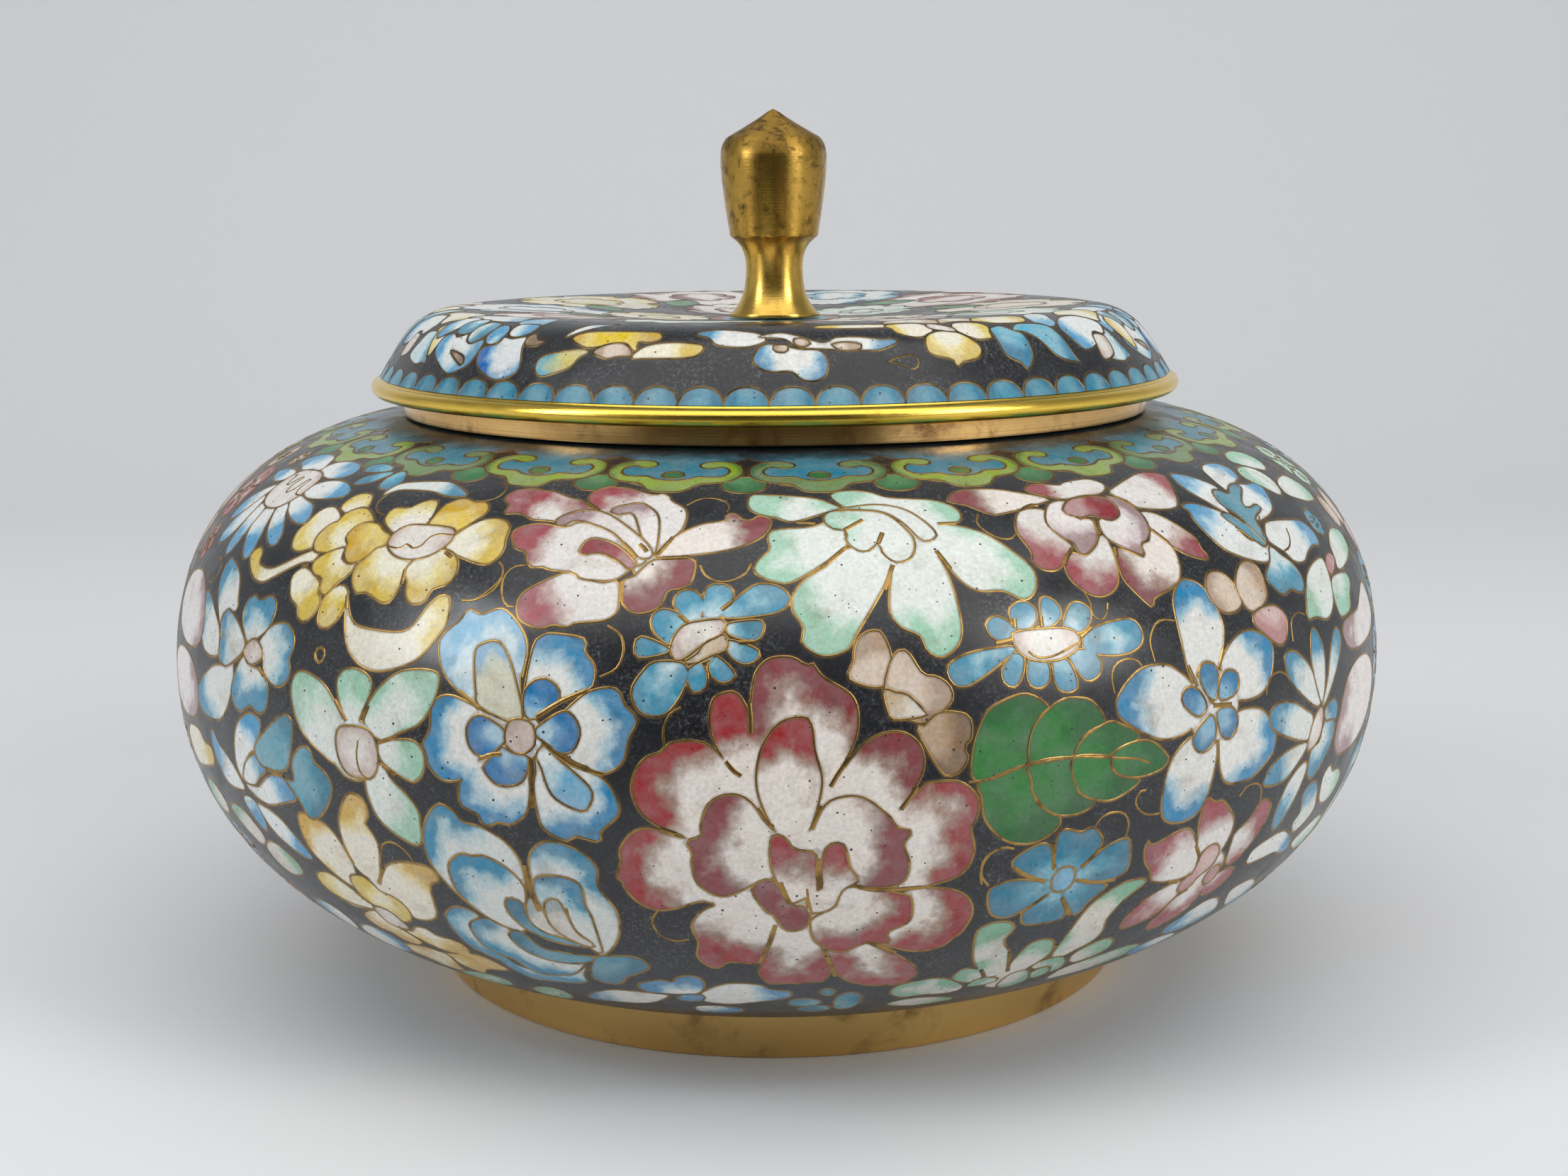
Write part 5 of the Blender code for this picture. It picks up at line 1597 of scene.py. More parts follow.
# Blue and white flower at the left.
def drawLeftFlower(draw):
    draw.petals("turquoiseWhite", (-48.7, 60.3), [
        [-59.5,68.7, -58.7,69.8, -55.4,68.4, -53.8,65.9, -53.3,64.2, -55.8,63.4, -56,62, -59.1,66.2],
        [-62.9,62, -62.3,64.2, -60.7,64.9, -57,62.6, -55.6,60.9, -55.3,58.4, -58.7,58.2, -61.5,61.2],
        [-50.3,59.8, -51.7,58.7, -51.6,56.4, -52.3,53.7, -53.8,51.4, -55.8,50.6, -58.2,50.6, -60.1,51.7,
         -59.9,53.7, -56.2,57, -52.5,58],
        [-51.9,64.2, -51.7,65.9, -50.7,66.7, -49.7,66.3, -48,67.1, -46.8,66.2, -46.7,64.2, -47.6,62.6,
         -49.7,61.2, -50.9,62.3],
        [-47,60.3, -48,61.4, -47.2,63.1, -46,64.2, -44.4,64.5, -43.1,63.4, -42.8,62, -43.1,60.6, -42.7,59.2,
         -43.6,57.6, -45.2,57.4, -46.6,58.7],
        [-48.7,58.8, -47.4,58.7, -46,57.6, -45.6,56.2, -46,54.2, -47.2,53.7, -48.4,54.2, -50.1,53.1,
         -51.3,53.7, -51.9,55.6, -50.3,59.5],
        [-55.6,63.4, -54.6,64.1, -51.7,62.6, -50.2,60.4, -52.9,57.8, -54.4,57.8, -55.2,58.7, -55.3,60.9,
         -55.8,62.3]])
    draw.petals("ivory", (-48.7, 60.3), [
        [-50.3,60.3, -48.7,61.9, -46.9,60.3, -48.9,58.8]])
    draw.spurs([-47.4,58.8, -46.6,58.1])


# Blue and white flower at the right shoulder.
def drawShoulderFlower(draw):
    draw.petals("azureWhite", (48, 77), [
        [44.9,82.8, 45.2,84.8, 46.2,85.3, 48,84.2, 49.5,82.5, 50,81.2, 48.7,80.8, 48,80, 47.6,77.2,
         45.4,80.8]])
    draw.petals("azureWhite", (50.9, 80.6), [
        [50.8,80.8, 50.9,83, 51.7,85, 53.5,85.8, 55.7,85.5, 56.8,84.2, 56.3,82.5, 55,81.8, 51.3,80.7]])
    draw.petals("azureWhite", (51.5, 78), [
        [50.6,79.8, 51.7,81, 53.5,81.5, 55.7,80.9, 57.4,80.8, 58.1,79.5, 55.7,76.5, 52,75.5, 50.9,76]])
    draw.petals("azureWhite", (48.4, 70.8), [
        [41.9,77, 42.3,78.8, 41.9,79.8, 44,79.8, 46.9,77.5, 46.9,75.5, 47.6,73.5, 49.8,72.8, 49.5,70.8,
         47.3,70.5, 43.2,73]])
    draw.petals("azureWhite", (50.6, 72.8), [
        [50.4,72.8, 51.3,74.5, 52.8,75.2, 57.2,74.5, 59.4,73.8, 60.5,72, 59.9,70.2, 58.3,70.5, 56.4,70,
         54.6,69.1, 52.8,69.5, 52,70.8]])
    draw.petals("skyBlue", (50, 72), [
        [46.9,68.8, 48.7,70.5, 50,72.2, 51.1,70.8, 52.2,69.5, 52.8,67.5, 52.2,66, 51.1,66, 50,66.6,
         48.7,66.2, 47.6,67]])
    draw.petals("slateTurquoise", (50, 77), [
        [47.7,79.5, 48.4,81, 49.5,81.2, 50.6,80.2, 52,81.2, 53.5,81.5, 54.2,80.7, 51.7,78.9, 51.1,77.8,
         52.2,77.6, 53.3,77.8, 53.6,77, 50.9,75.8, 50.5,73.4, 49.3,72.2, 48.3,73.2, 46.4,76.6, 46.3,77.6,
         47.4,77.5, 48.8,75.5, 48.6,77, 47.9,78.2]])
    draw.curls(
        [52,71.1, 53.4,71.4, 54.5,72.4, 55.1,73.6], [49.8,72.2, 49.1,74.8, 48.7,77], [50.1,73.4, 50.9,75,
         52,76.1])


# Buds at the right.
def drawRightBuds(draw):
    draw.petals("beige", (42.3, 67.6), [
        [38.4,68.7, 39.1,70.3, 40.1,70.8, 41.3,70.3, 42.2,68.7, 42.3,66.7, 41.3,65.8, 39.7,65.8, 38.7,67],
        [42.3,68.9, 43.6,70.6, 45.2,71.2, 46.4,70.1, 46.3,67.6, 45.6,66.2, 44,65.3, 42.7,65.6, 42.1,67.6]])
    draw.petals("rosy", (45.6, 65.9), [
        [43.1,63.7, 43.3,65.1, 45,65.6, 46.8,65.3, 47.8,63.7, 47,61.4, 45.6,61]])


# Mint flowers at the right.
def drawRightMint(draw):
    draw.petals("mint", (59.7, 67.6), [
        [51.3,62.8, 52.1,65.3, 53.8,67.6, 56.2,68.7, 58.7,68.8, 58.7,67, 57.8,64.2, 56.6,62.6, 55,61.9,
         52.9,62.6],
        [61.9,67.8, 62.7,69.8, 65.2,71.2, 67.6,71, 69.3,69.8, 68.4,67.6, 63.6,66.4, 61.5,66.7],
        [58,61.7, 57.8,64.2, 59.1,66.2, 63.1,65.9, 63.8,64.5, 62.3,63.1, 61.5,61.7, 59.5,61.2]])
    draw.petals("rosy", (60.3, 67.6), [
        [58.7,67.3, 59.7,68.7, 61.5,68.9, 61.9,67.8, 59.5,66.3]])
    draw.petals("mint", (62.7, 80.3), [
        [57,81.7, 57.8,83.4, 59.9,83.7, 61.9,82.6, 62.5,80.3, 61.5,78.4, 60.1,77.8, 58.7,79.2],
        [59.5,84.8, 60.7,86.4, 63.6,86.7, 66,85.3, 66.4,83.1, 64.4,81.7, 61.9,82.8],
        [61.9,77.6, 62.7,79.5, 65.2,80.1, 67.6,79.8, 69.3,77.6, 68.9,75.3, 66.4,75.3, 64,76.2]])
    draw.curls(
        [30.9,62, 30.8,64.2, 31.7,65.9, 32.7,66.3, 33.8,66], [48,60.9, 48.4,63.1, 49.7,63.9, 50.9,63.4],
        [43.1,55.9, 43.6,57.6, 45.2,58.1, 46.4,57.3])


# Soft petals at the left edge.
def drawEdgePetals(draw):
    draw.petals("paleRose", (-74, 57), [
        [-60.6,58.5, -60,60.5, -60.8,62.8, -62.5,65, -65.5,66.5, -69,66, -71.5,64, -72,61, -70,58.8,
         -66.5,57.6, -63,57.5],
        [-60.5,50.5, -60,52.5, -60.6,54.5, -62.5,56.2, -66,56.8, -69.5,56, -72,54, -72,51, -69.5,49,
         -66,48.4, -62.5,48.9]])


# Blue flower at the lower left.
def drawLowBlue(draw):
    draw.petals("azureWhite", (-50.7, 44.1), [
        [-50.9,44.6, -51.8,46, -51.8,48.2, -51.1,51, -49.7,52.7, -48.1,53.5, -46.7,52.7, -46.9,51.3,
         -47.9,49.6, -47.1,49.1, -48.5,48.8, -49.9,47.1],
        [-51.3,43.2, -51.8,44.9, -53.4,46.8, -55,47.7, -56.2,49.1, -56.9,48.8, -56.9,46.6, -56,44.3,
         -54.6,42.9],
        [-49.5,42.1, -46,41.3, -43.2,37.4, -43.4,36.3, -44.8,36.6, -46.9,37.7, -48.5,39.3],
        [-52.2,42.1, -50.9,42.7, -49.7,42.1, -49.1,39.9, -49.7,38.2, -50.9,38.8, -52,40.4],
        [-50.5,44.6, -48.5,44.6, -46,46.7, -44,47, -42.6,46.1, -42.6,44.6, -43.6,44.1, -46.9,42.7,
         -48.9,42.9, -50.5,43.8],
        [-50.9,44.6, -50.3,46.6, -48.9,48.2, -47.3,48.9, -46.2,48.5, -46.4,47.1, -47.7,46, -48.9,44.6]])
    draw.petals("turquoise", (-46.9, 47.7), [
        [-47.9,49.6, -46.4,51.6, -43.6,54.3, -42.4,54.3, -42,52.7, -43.2,48.2, -46.4,47.4, -47.7,48.2],
        [-42.4,47.1, -42.4,49.3, -41.1,51.3, -39.9,51.3, -39.3,49.9, -37.9,48.8, -37.5,47.4, -38.3,45.2,
         -39.9,43.2, -41.3,42.9, -42,44.6, -43.6,46.8]])
    draw.spurs([-46.4,47.4, -43.8,47.1])


# Yellow, mint and blue petals at the lower left.
def drawLowLeft(draw):
    draw.petals("yellow", (-36.2, 32.7), [
        [-38.1,32.1, -41.1,34.9, -42.8,35, -44,34.1, -44.3,32.7, -43.6,31.3, -41.6,30.4, -39.5,30.3,
         -37.9,30.7]])
    draw.petals("yellow", (-64.8, 44.9), [
        [-57.3,46, -57.9,46.8, -59.5,46.8, -60.7,47.9, -63.2,47.9, -65.2,47.1, -66.4,45.4, -66,43.2,
         -64,42.4, -59.1,43.8, -57.7,44.6]])
    draw.petals("mintBeige", (-51.8, 33.8), [
        [-56.7,37.7, -56.9,39.3, -55,40.2, -53,39.6, -51.6,38.2, -51.1,36.8, -52.2,35.4, -53.8,35.2],
        [-52.2,34.9, -50.5,36.6, -48.5,36.6, -46.7,34.9, -46.7,33.2, -48.1,32.1, -50.1,31.6, -51.8,32.7],
        [-64,39.9, -61.6,41.3, -59.1,40.4, -58.3,38.8, -59.5,37.1, -62.4,36.6, -64.8,37.1]])
    draw.petals("blueWhite", (-46, 22.7), [
        [-51.8,24.9, -49.7,27.1, -46.9,27.4, -45.6,25.4, -46.4,22.7, -48.9,20.4, -51.3,21.6],
        [-46.4,20.4, -44.8,23.8, -42,25.4, -39.5,24.3, -39.1,21.6, -41.1,18.8, -44,17.7]])


# Turquoise daisy at the right.
def drawRightDaisy(draw):
    draw.petals("turquoiseWhite", (51, 49.9), [
        [50,49.1, 48,49.4, 44.5,51.3, 43.5,52.6, 43.7,54.1, 45.1,54.6, 47.1,54.1, 49.2,52.7, 50.4,51.6],
        [49.8,48.5, 47.1,45.4, 45.1,44.9, 43.3,45.4, 43.5,46.8, 45.1,48.2, 47.6,48.9],
        [50,46.3, 50,44.1, 48.2,39.1, 47.3,38.3, 46.5,39.3, 46.4,41.6, 47.1,44.3, 48.6,46],
        [50.4,45.4, 50.6,47.7, 52,48.2, 52.4,49.9, 53.7,51, 54.9,49.9, 54.9,47.7, 53.7,45.4, 52,43.8,
         50.8,44.1],
        [52.7,51.8, 54.5,52.7, 55.5,51.6, 55.3,49.9, 54.1,50.2, 52.9,50.4]])
    draw.petals("ivory", (51, 49.9), [
        [49.8,47.7, 50,49.9, 51,51.8, 52,52.4, 52.4,51.3, 52.2,49.3, 51.2,47.9]])
    # its upper petals
    draw.petals("turquoiseWhite", (52.1, 52), [
        [46.2,58.7, 46.4,59.8, 48,59.8, 50.1,57.6, 51.3,54.8, 51.7,52.6, 50.1,53.1, 46.8,56.4],
        [51.5,61.6, 52.7,60.3, 53.1,57.6, 52.1,52.6, 50.5,57.6],
        [52.1,52.3, 53.3,55.3, 54.6,58.7, 56,60.6, 57.2,59.8, 56.6,57.6, 53.3,53.1]])


# Soft flowers at the right edge.
def drawRightEdge(draw):
    draw.petals("paleRose", (72, 55), [
        [55.5,47.5, 56.8,52.2, 58.5,54.6, 61.5,55.6, 65,55.2, 67.5,53, 68,50, 66.5,47, 63.5,45.2, 60,44.6,
         57,45],
        [58.6,57.8, 57.9,59.3, 58.4,60.6, 60.2,61, 63.5,61.2, 66,62.6, 68.6,63.4, 70,61, 70,58.6, 67.5,57.2,
         64,56.7, 60.5,56.9]])
    draw.petals("mint", (55.3, 39.9), [
        [54.5,42.1, 54.7,43.5, 55.7,44.1, 56.9,42.9, 58.6,42.7, 60.2,41, 59.8,38.8, 57.8,38.2, 55.7,39.3],
        [54.1,33.8, 56.1,35.4, 58.6,36, 61,34.9, 61.4,32.7, 59.4,31, 56.5,31.6]])
    draw.petals("turquoiseWhite", (53.3, 38.2), [
        [50.8,41.6, 51.6,42.9, 53.3,42.7, 54.5,40.4, 55.3,38.2, 54.1,36.6, 52.4,36, 51,37.7, 51.6,39.3]])
    draw.petals("blueWhite", (45.5, 34.9), [
        [44.9,35.2, 45.5,36.6, 49.6,37.4, 53.3,34.3, 53.7,32.7, 52,32.9, 50,33.8, 45.7,33.9],
        [39.2,24.9, 40.2,27.1, 42.2,29.1, 44.3,28.8, 46.3,26.6, 47.6,24.3, 46.3,22.7, 43.5,22.1, 40.6,22.7],
        [46.3,29.3, 48.4,29.9, 50.4,29.3, 52.9,27.1, 54.5,24.9, 52.9,22.7, 49.6,24.3, 47.1,27.1],
        [37.8,20.4, 39.8,22.1, 43.1,21.6, 45.5,19.3, 44.7,16.6, 41.8,16, 39,17.7]])
    draw.curls([40.2,44.9, 41.2,46, 42.7,45.7, 43.3,44.1, 43.1,42.4])


# Small flowers above the foot.
def drawFootFlowers(draw):
    draw.petals("blueWhite", (-8.7, 20), [
        [-12.1,20.7, -12.8,22.9, -10.7,24.6, -9.4,24.3, -8.7,25.7, -7,25.9, -6.5,24.3, -7,21.8, -8.4,20.7],
        [-7.3,20.4, -6.7,22.1, -4.6,24.3, -1.9,24.3, -0.5,22.9, 1.2,22.1, 0.9,20, -1.9,18.6, -4.6,17.5,
         -7,18.2],
        [-10.4,20, -12.1,20.4, -15.5,20.5, -17.9,18.9, -19.6,16.4, -19.6,14.6, -16.9,14.8, -13.5,15.7,
         -11.4,17.9],
        [-9.7,19.3, -8.7,20.7, -7,20.7, -7.3,18.6, -9,18],
        [-8.7,14.3, -8,16.1, -6,16.4, -3.9,15.4, -3.6,13.6, -5.6,12.1, -8,12.5]])
    draw.petals("turquoise", (4.9, 15.7), [
        [0.9,18.2, 1.5,19.6, 3.2,19.6, 4.3,18.2, 3.6,16.4, 1.5,16.4],
        [3.9,21.4, 4.3,22.9, 5.3,22.1, 4.9,20.4],
        [5.6,20, 6.7,21.4, 8,20, 8,15.7, 6.7,13.9, 5.5,15.7],
        [1.9,14.6, 2.9,16.4, 4.9,16.4, 5.3,13.9, 3.6,12.9]])
    draw.petals("mintBeige", (14.5, 15.7), [
        [11.1,15, 13.1,17.1, 16.5,16.4, 18.6,14.6, 17.9,12.9, 14.5,12.5],
        [-36,15.7, -33.3,17.9, -30.5,18.9, -28.5,17.5, -29.2,15, -31.9,12.9, -35.3,12.9],
        [-27.1,12.1, -26.4,15.7, -23.7,17.9, -22,16.8, -22.4,13.6, -25.1,10.7]])


# In the order in which they lie on each other, the lowest first.
def drawFront(draw):
    for flower in (drawPeony, drawBuds, drawLeaf, drawBlueFlower, drawFoldedFlower, drawLeftPeony,
                   drawLotus, drawTiltedFlower, drawMintFlower, drawDaisy, drawRightPeony,
                   drawShoulderLeaves, drawYellowFlowers, drawPaleYellow, drawSmallMint, drawYellowFlower,
                   drawFivePetals, drawRedFlower, drawGreenFlower, drawEdgeDaisy, drawLeftFlower,
                   drawShoulderFlower, drawRightBuds, drawRightMint, drawEdgePetals, drawLowBlue,
                   drawLowLeft, drawRightDaisy, drawRightEdge, drawFootFlowers):
        draw.begin(flower)
        flower(draw)


# The two sides, which the photograph doesn't show, are filled with flowers like those in
# front, and with small ones between them. Lengths are in mm.
sides = {
    "from": 57.0,            # degrees
    "to": 123.0,
    "margin": 12.0,          # degrees past the ends, within which flowers are kept clear of
    "low": 10.0,             # up the wall
    "high": 86.3,
    "gap": 0.8,
    "lift": 14.0,            # how far a flower of the front may move up or down
    "flowers": [drawPeony, drawLeftPeony, drawFoldedFlower, drawFivePetals, drawLotus, drawRedFlower,
                drawDaisy, drawLeaf, drawLeftFlower, drawTiltedFlower, drawSmallMint, drawBlueFlower,
                drawBuds, drawRightBuds],
    "tries": 900,
    "smallTries": 3600,
    "small": [5.6, 4.4, 3.5, 2.8, 2.3, 1.9, 1.5],      # radii
    "spare": 1.15,           # how much larger a small flower may be where there is room
    "sixPetalsFrom": 4,      # radii too
    "heartFrom": 2.6,
    "curlBelow": 1.85,
    "petal": 5.2,            # the widths of its petals, as a share of the radius
    "heart": (0.36, 0.42),   # length and width of the petals in its heart, likewise
    "enamels": ["mint", "blueWhite", "yellow", "rosePeony", "skyBlue", "cream", "turquoiseWhite"],
    "grid": 1.4,
    "seed": 4,
}


# Points along and inside cells and along wires, in millimetres of the flat sheet.
def coverOf(cells, wires):
    found = [line * square for line, _ in wires]
    for cell in cells:
        flat = cell.outline * square
        steps = (np.arange(low, high, sides["grid"]) for low, high in zip(flat.min(0), flat.max(0)))
        grid = np.stack(np.meshgrid(*steps), -1).reshape(-1, 2)
        found += [flat, grid[insideOutline(grid, flat)]]
    return np.vstack(found)


# The mean room between points and a tree, or None where they come too near.
def roomRound(points, tree, gap):
    rooms = []
    for x, y in points:
        rooms.append(tree.find((x, y, 0.0))[2])
        if rooms[-1] < gap:
            return None
    return sum(rooms) / len(rooms)


# Sets copies of the front's flowers down where they fit closest, and returns what is taken.
def packFlowers(draw, chance):
    def near(line):
        return sides["from"] - sides["margin"] < line[:, 0].mean() < sides["to"] + sides["margin"]

    taken = coverOf([cell for cell in draw.cells if near(cell.outline)],
                    [wire for wire in draw.wires if near(wire[0])])
    for flower in sides["flowers"]:
        tree = pointTree(taken)
        own = coverOf(*draw.drawn(flower))
        middle = own.mean(0)
        own = own[np.random.default_rng(1).permutation(len(own))] - middle
        best = None
        for _ in range(sides["tries"]):
            mirrored = chance.random() < 0.5
            place = np.array((chance.uniform(sides["from"], sides["to"]) * square[0],
                              middle[1] + chance.uniform(-sides["lift"], sides["lift"])))
            moved = own * (-1 if mirrored else 1, 1) + place
            if moved[:, 1].min() < sides["low"] or moved[:, 1].max() > sides["high"]:
                continue
            room = roomRound(moved, tree, sides["gap"])
            if room and (best is None or room < best[0]):
                best = room, place, mirrored, moved
        if best:
            _, place, mirrored, moved = best
            taken = np.vstack([taken, moved])
            for turn in (0, 180):
                draw.again(flower, middle / square, place / square + (turn, 0), mirrored)
    return taken


# Places and radii of small flowers in the room that is left, the largest first.
def packSmall(taken, chance):
    tree = pointTree(taken)
    small = []
    for least in sides["small"]:
        for _ in range(sides["smallTries"]):
            x = chance.uniform(sides["from"], sides["to"]) * square[0]
            y = chance.uniform(sides["low"], sides["high"])
            rooms = [tree.find((x, y, 0.0))[2]] + [math.hypot(x - a, y - b) - r for a, b, r in small]
            room = min(min(rooms) - sides["gap"], y - sides["low"] + 1, sides["high"] + 1 - y)
            if room >= least:
                small.append((x, y, min(room, sides["spare"] * least)))
    report(len(small), "small flowers on each side")
    return small


def drawSides(draw):
    chance = random.Random(sides["seed"])
    small = packSmall(packFlowers(draw, chance), chance)
    for draw.turn in (0.0, 180.0):
        for i, (x, y, radius) in enumerate(small):
            x /= square[0]
            if radius < sides["curlBelow"]:
                draw.wire([(x + radius * math.cos(a) / square[0], y + radius * math.sin(a))
                           for a in np.arange(i, i + 5, 0.8)])
                continue
            enamel = sides["enamels"][i % len(sides["enamels"])]
            count = 6 if radius > sides["sixPetalsFrom"] else 5
            kind = ("round", "notch", "point")[i % 3]
            petalRing(draw, (x, y), enamel, count, radius, radius * sides["petal"] / count, kind, 17 * i)
            if radius > sides["heartFrom"]:
                length, width = (share * radius for share in sides["heart"])
                petalRing(draw, (x, y), enamel, 4, length, width, "round", 30 * i)
    draw.turn = 0.0


def oval(centre, across, up, step):
    angles = np.arange(0, 6.28, step)
    return [(centre[0] + across * math.cos(a), centre[1] + up * math.sin(a)) for a in angles]


# The band of cloud heads under the collar, in degrees and mm. The right half of a scroll
# goes along its outer side to the tip and back along the inner side.
cloudBand = {
    "count": 23,
    "shift": -3.0,
    "outer": [0,86.8, 1.8,87.1, 3.1,88.6, 4.7,88.9, 6.5,89.6, 7.5,91.2, 7.35,93.2, 6.3,94.5, 4.7,95,
              3,94.6, 2.4,93.6],
    "inner": [3.1,92.8, 4.2,92.8, 5,93.2, 5.8,92.6, 6,91.6, 5.3,90.5, 4,90.3, 2.8,90.4, 1.6,89.7, 0,89.4],
    "head": [-4,88.5, 0,87.6, 4,89.2, 6.9,91, 6.9,93.4, 5,94.4],
    "headLeft": [-5,94.4, -6.9,93.4, -6.9,91],
    "shoulder": 96,
    "top": 101,
}


def drawBorder(draw):
    outer, inner, head, headLeft = (np.reshape(cloudBand[part], (-1, 2))
                                    for part in ("outer", "inner", "head", "headLeft"))
    half, shoulder, top = halfTurn / cloudBand["count"], cloudBand["shoulder"], cloudBand["top"]
    flip = (-1, 1)
    scroll = np.vstack([(outer[1:] * flip)[::-1], outer, inner, (inner[:-1] * flip)[::-1]])
    head = np.vstack([head, [(half, shoulder), (half, top), (-half, top), (-half, shoulder)], headLeft])
    leaf = oval((half, 88.6), 2.4, 1.9, 0.7)
    eye = oval((0, 90.8), 1.25, 0.95, 0.8)
    band = draw.newGroup()
    for i in range(cloudBand["count"]):
        middle = (i * 2 * half + cloudBand["shift"] - halfTurn, 0)
        draw.cell(leaf + np.array(middle), "darkLeaf", (middle[0] + half, 90))
        draw.cell(head + middle, "band", (middle[0], 91.0), band, rounded=False)
        draw.cell(scroll + middle, "lime" if i % 3 else "oldLime")
        draw.cell(eye + np.array(middle), "darkLeaf")


# The lid: a row of turquoise scales along its edge, then flowers.
scales = {
    "count": 64,
    "shift": 2.3,
    "half": [(2.55, -0.5), (2.5, 1.1), (1.6, 2.0)],
    "tip": 2.35,
}


def drawLidEdge(draw):
    right = scales["half"]
    left = [(-u, v) for u, v in right]
    scale = np.array([left[0], *right, (0, scales["tip"]), *left[:0:-1]])
    for i in range(scales["count"]):
        middle = (i * 2 * halfTurn / scales["count"] + scales["shift"] - halfTurn, 0.0)
        draw.cell(smoothLine(scale + middle, 4, True), "scallop", middle, rounded=False)


# The flowers of the lid's shoulder

# Blue and white leaves at the left.
def drawPaleLeaves(draw):
    draw.petals("paleBlue", (-51, 16), [
        [-58.9,12.3, -56.3,14, -52.5,15.3, -48,15.7, -45,15.3, -43.5,14, -42.8,12.3, -45,11.7, -49.9,11.7,
         -54.8,12.2]])
    draw.petals("paleBlue", (-39.8, 16), [
        [-43,12, -42,14, -39.8,15.3, -37.5,14.7, -36.6,12.7, -37.2,11, -39.8,11.2, -41.7,11]])
    draw.petals("azureWhite", (-55.1, 12.3), [
        [-59.8,9.8, -59.3,7.7, -57.9,7.3, -54.4,9.7, -53.6,12, -55.5,12.5, -57.8,11.8]])
    draw.petals("skyBlue", (-52.1, 12), [
        [-54.8,9.7, -53.6,8.2, -50.3,8.7, -50.1,11.7, -52.5,11.9, -54.4,11],
        [-50.1,8.5, -49.3,7.2, -47.6,7, -45.6,9.3, -45.8,11, -48.4,11.3, -49.9,10]])
    draw.petals("azureWhite", (-43.5, 7.2), [
        [-45.6,8.2, -44.7,7.1, -43.2,7, -42,7.8, -42,9.5, -43.5,10.7, -45,10.5],
        [-41.8,9.8, -41.3,8.7, -39.8,8.3, -38.1,8.7, -37.1,9.7, -37.3,11.2, -39.8,11.4, -41.5,11]])
    draw.petals("azureWhite", (-51, 8.2), [
        [-56.8,6.3, -56.3,7.7, -54.4,8.3, -53.1,7.8, -51.8,7.9, -50.5,8.4, -49.7,7.4, -48,6.9, -46.1,7.7,
         -45.2,7.2, -45.8,4.3, -48.8,2.7, -51,2.8, -54.8,4.3, -56.3,5.2]])
    draw.petals("deepWhite", (-39, 8.5), [
        [-45,6, -43.9,6.8, -42,7.2, -41.7,8.3, -39.8,8.1, -37.3,8.5, -37,7, -35.9,3.8, -39,2.3, -42.8,3.3,
         -44.5,4.5]])
    draw.petals("skyBlue", (-63.4, 4.5), [
        [-64.9,4.2, -64.1,6.3, -63.4,8, -60.4,8.2, -59.4,6.3, -57.6,3.7, -58.9,3.5, -61.1,3.2]])
    draw.petals("bronzed", (-49.9, 5.3), [
        [-52.1,5.7, -48.4,5.2, -47.3,4.3, -48,3.9],
        [-37,8.6, -36,9.2, -34.9,8.2, -33.4,8, -34.5,7.2, -36.4,7.1, -37.1,7.7]])
    draw.petals("azureWhite", (-30.6, 8.8), [
        [-30.6,8.7, -28.5,11.7, -23.7,12.5, -27,10.8]])


# Yellow leaf with a turquoise end.
def drawTippedLeaf(draw):
    draw.petals("yellowTip", (-25.6, 6.7), [
        [-33.2,4.5, -32.5,5.8, -28.2,6.8, -25.7,6.8, -25.6,6.3, -26.7,5.7, -27.8,4.3, -31.5,3.1,
         -32.9,3.7]])


# Yellow leaves.
def drawYellowLeaves(draw):
    draw.petals("yellow", (-22.7, 9.5), [
        [-19,6.2, -17.6,7.5, -15.4,8.1, -12,8.2, -9.5,7.8, -9.5,6.8, -11.2,6, -17.1,5.8, -18.7,5.7]])
    draw.petals("yolk", (-22.7, 9), [
        [-29.2,8.5, -28.3,9.5, -25.5,10.1, -17.6,10.2, -15.9,9.8, -15.5,8.8, -17.1,8.1, -18.7,8.2,
         -18.5,6.8, -19.3,7, -21,8, -25.5,7.1, -27.7,7.6]])
    draw.petals("beige", (-21.8, 6.5), [
        [-24.9,6.5, -23.8,7.5, -21.6,8, -19.9,7.5, -19,6.2, -21,6, -22.7,5.7]])


# Blue and white flower in the middle.
def drawMiddleFlower(draw):
    draw.petals("blueWhite", (-1.3, 8.5), [
        [-8.1,10.8, -4.7,10.5, -1.9,9.8, -1,8.5, -3.6,7.5, -7.5,7.8, -8.9,9, -10.9,9.8]])
    # its right half
    draw.petals("blueWhite", (2.5, 8.5), [
        [-2,9.2, 1.4,10, 6.4,8.2, 8.7,9, 12,9, 14.9,8.5, 16.3,8.6, 17.1,8, 15.4,7.2, 13.2,6.8, 5.3,7.2,
         3.1,7.5, 1.4,8.8],
        [-2.7,6, -0.9,8, 3.6,7.2, 6.1,7, 7,5.5, 6.7,3.8, 5.3,3, 3.6,3.2, 2.2,4.2, -0.3,4.2, -2,4.8]])
    draw.petals("beige", (3.6, 8.5), [
        [2.8,8.8, 4.2,8.9, 5,8, 3.9,7.5, 2.8,8],
        [7.8,7.8, 9.8,8.2, 11.8,7.8, 11.5,7, 9.2,6.9],
        [0,7.8, 1.9,7.8, 1.7,6.8, 0.2,6.9]])
    draw.petals("yellow", (19, 11.6), [
        [5.6,11.5, 8,12.2, 16,12.1, 18.4,11.3, 16,10.9, 7.5,11]])
    draw.curls([14.9,5.2, 16.5,5.8, 18.8,6, 19.3,5, 18.2,4.2, 16.8,4.8, 14.9,5.2])


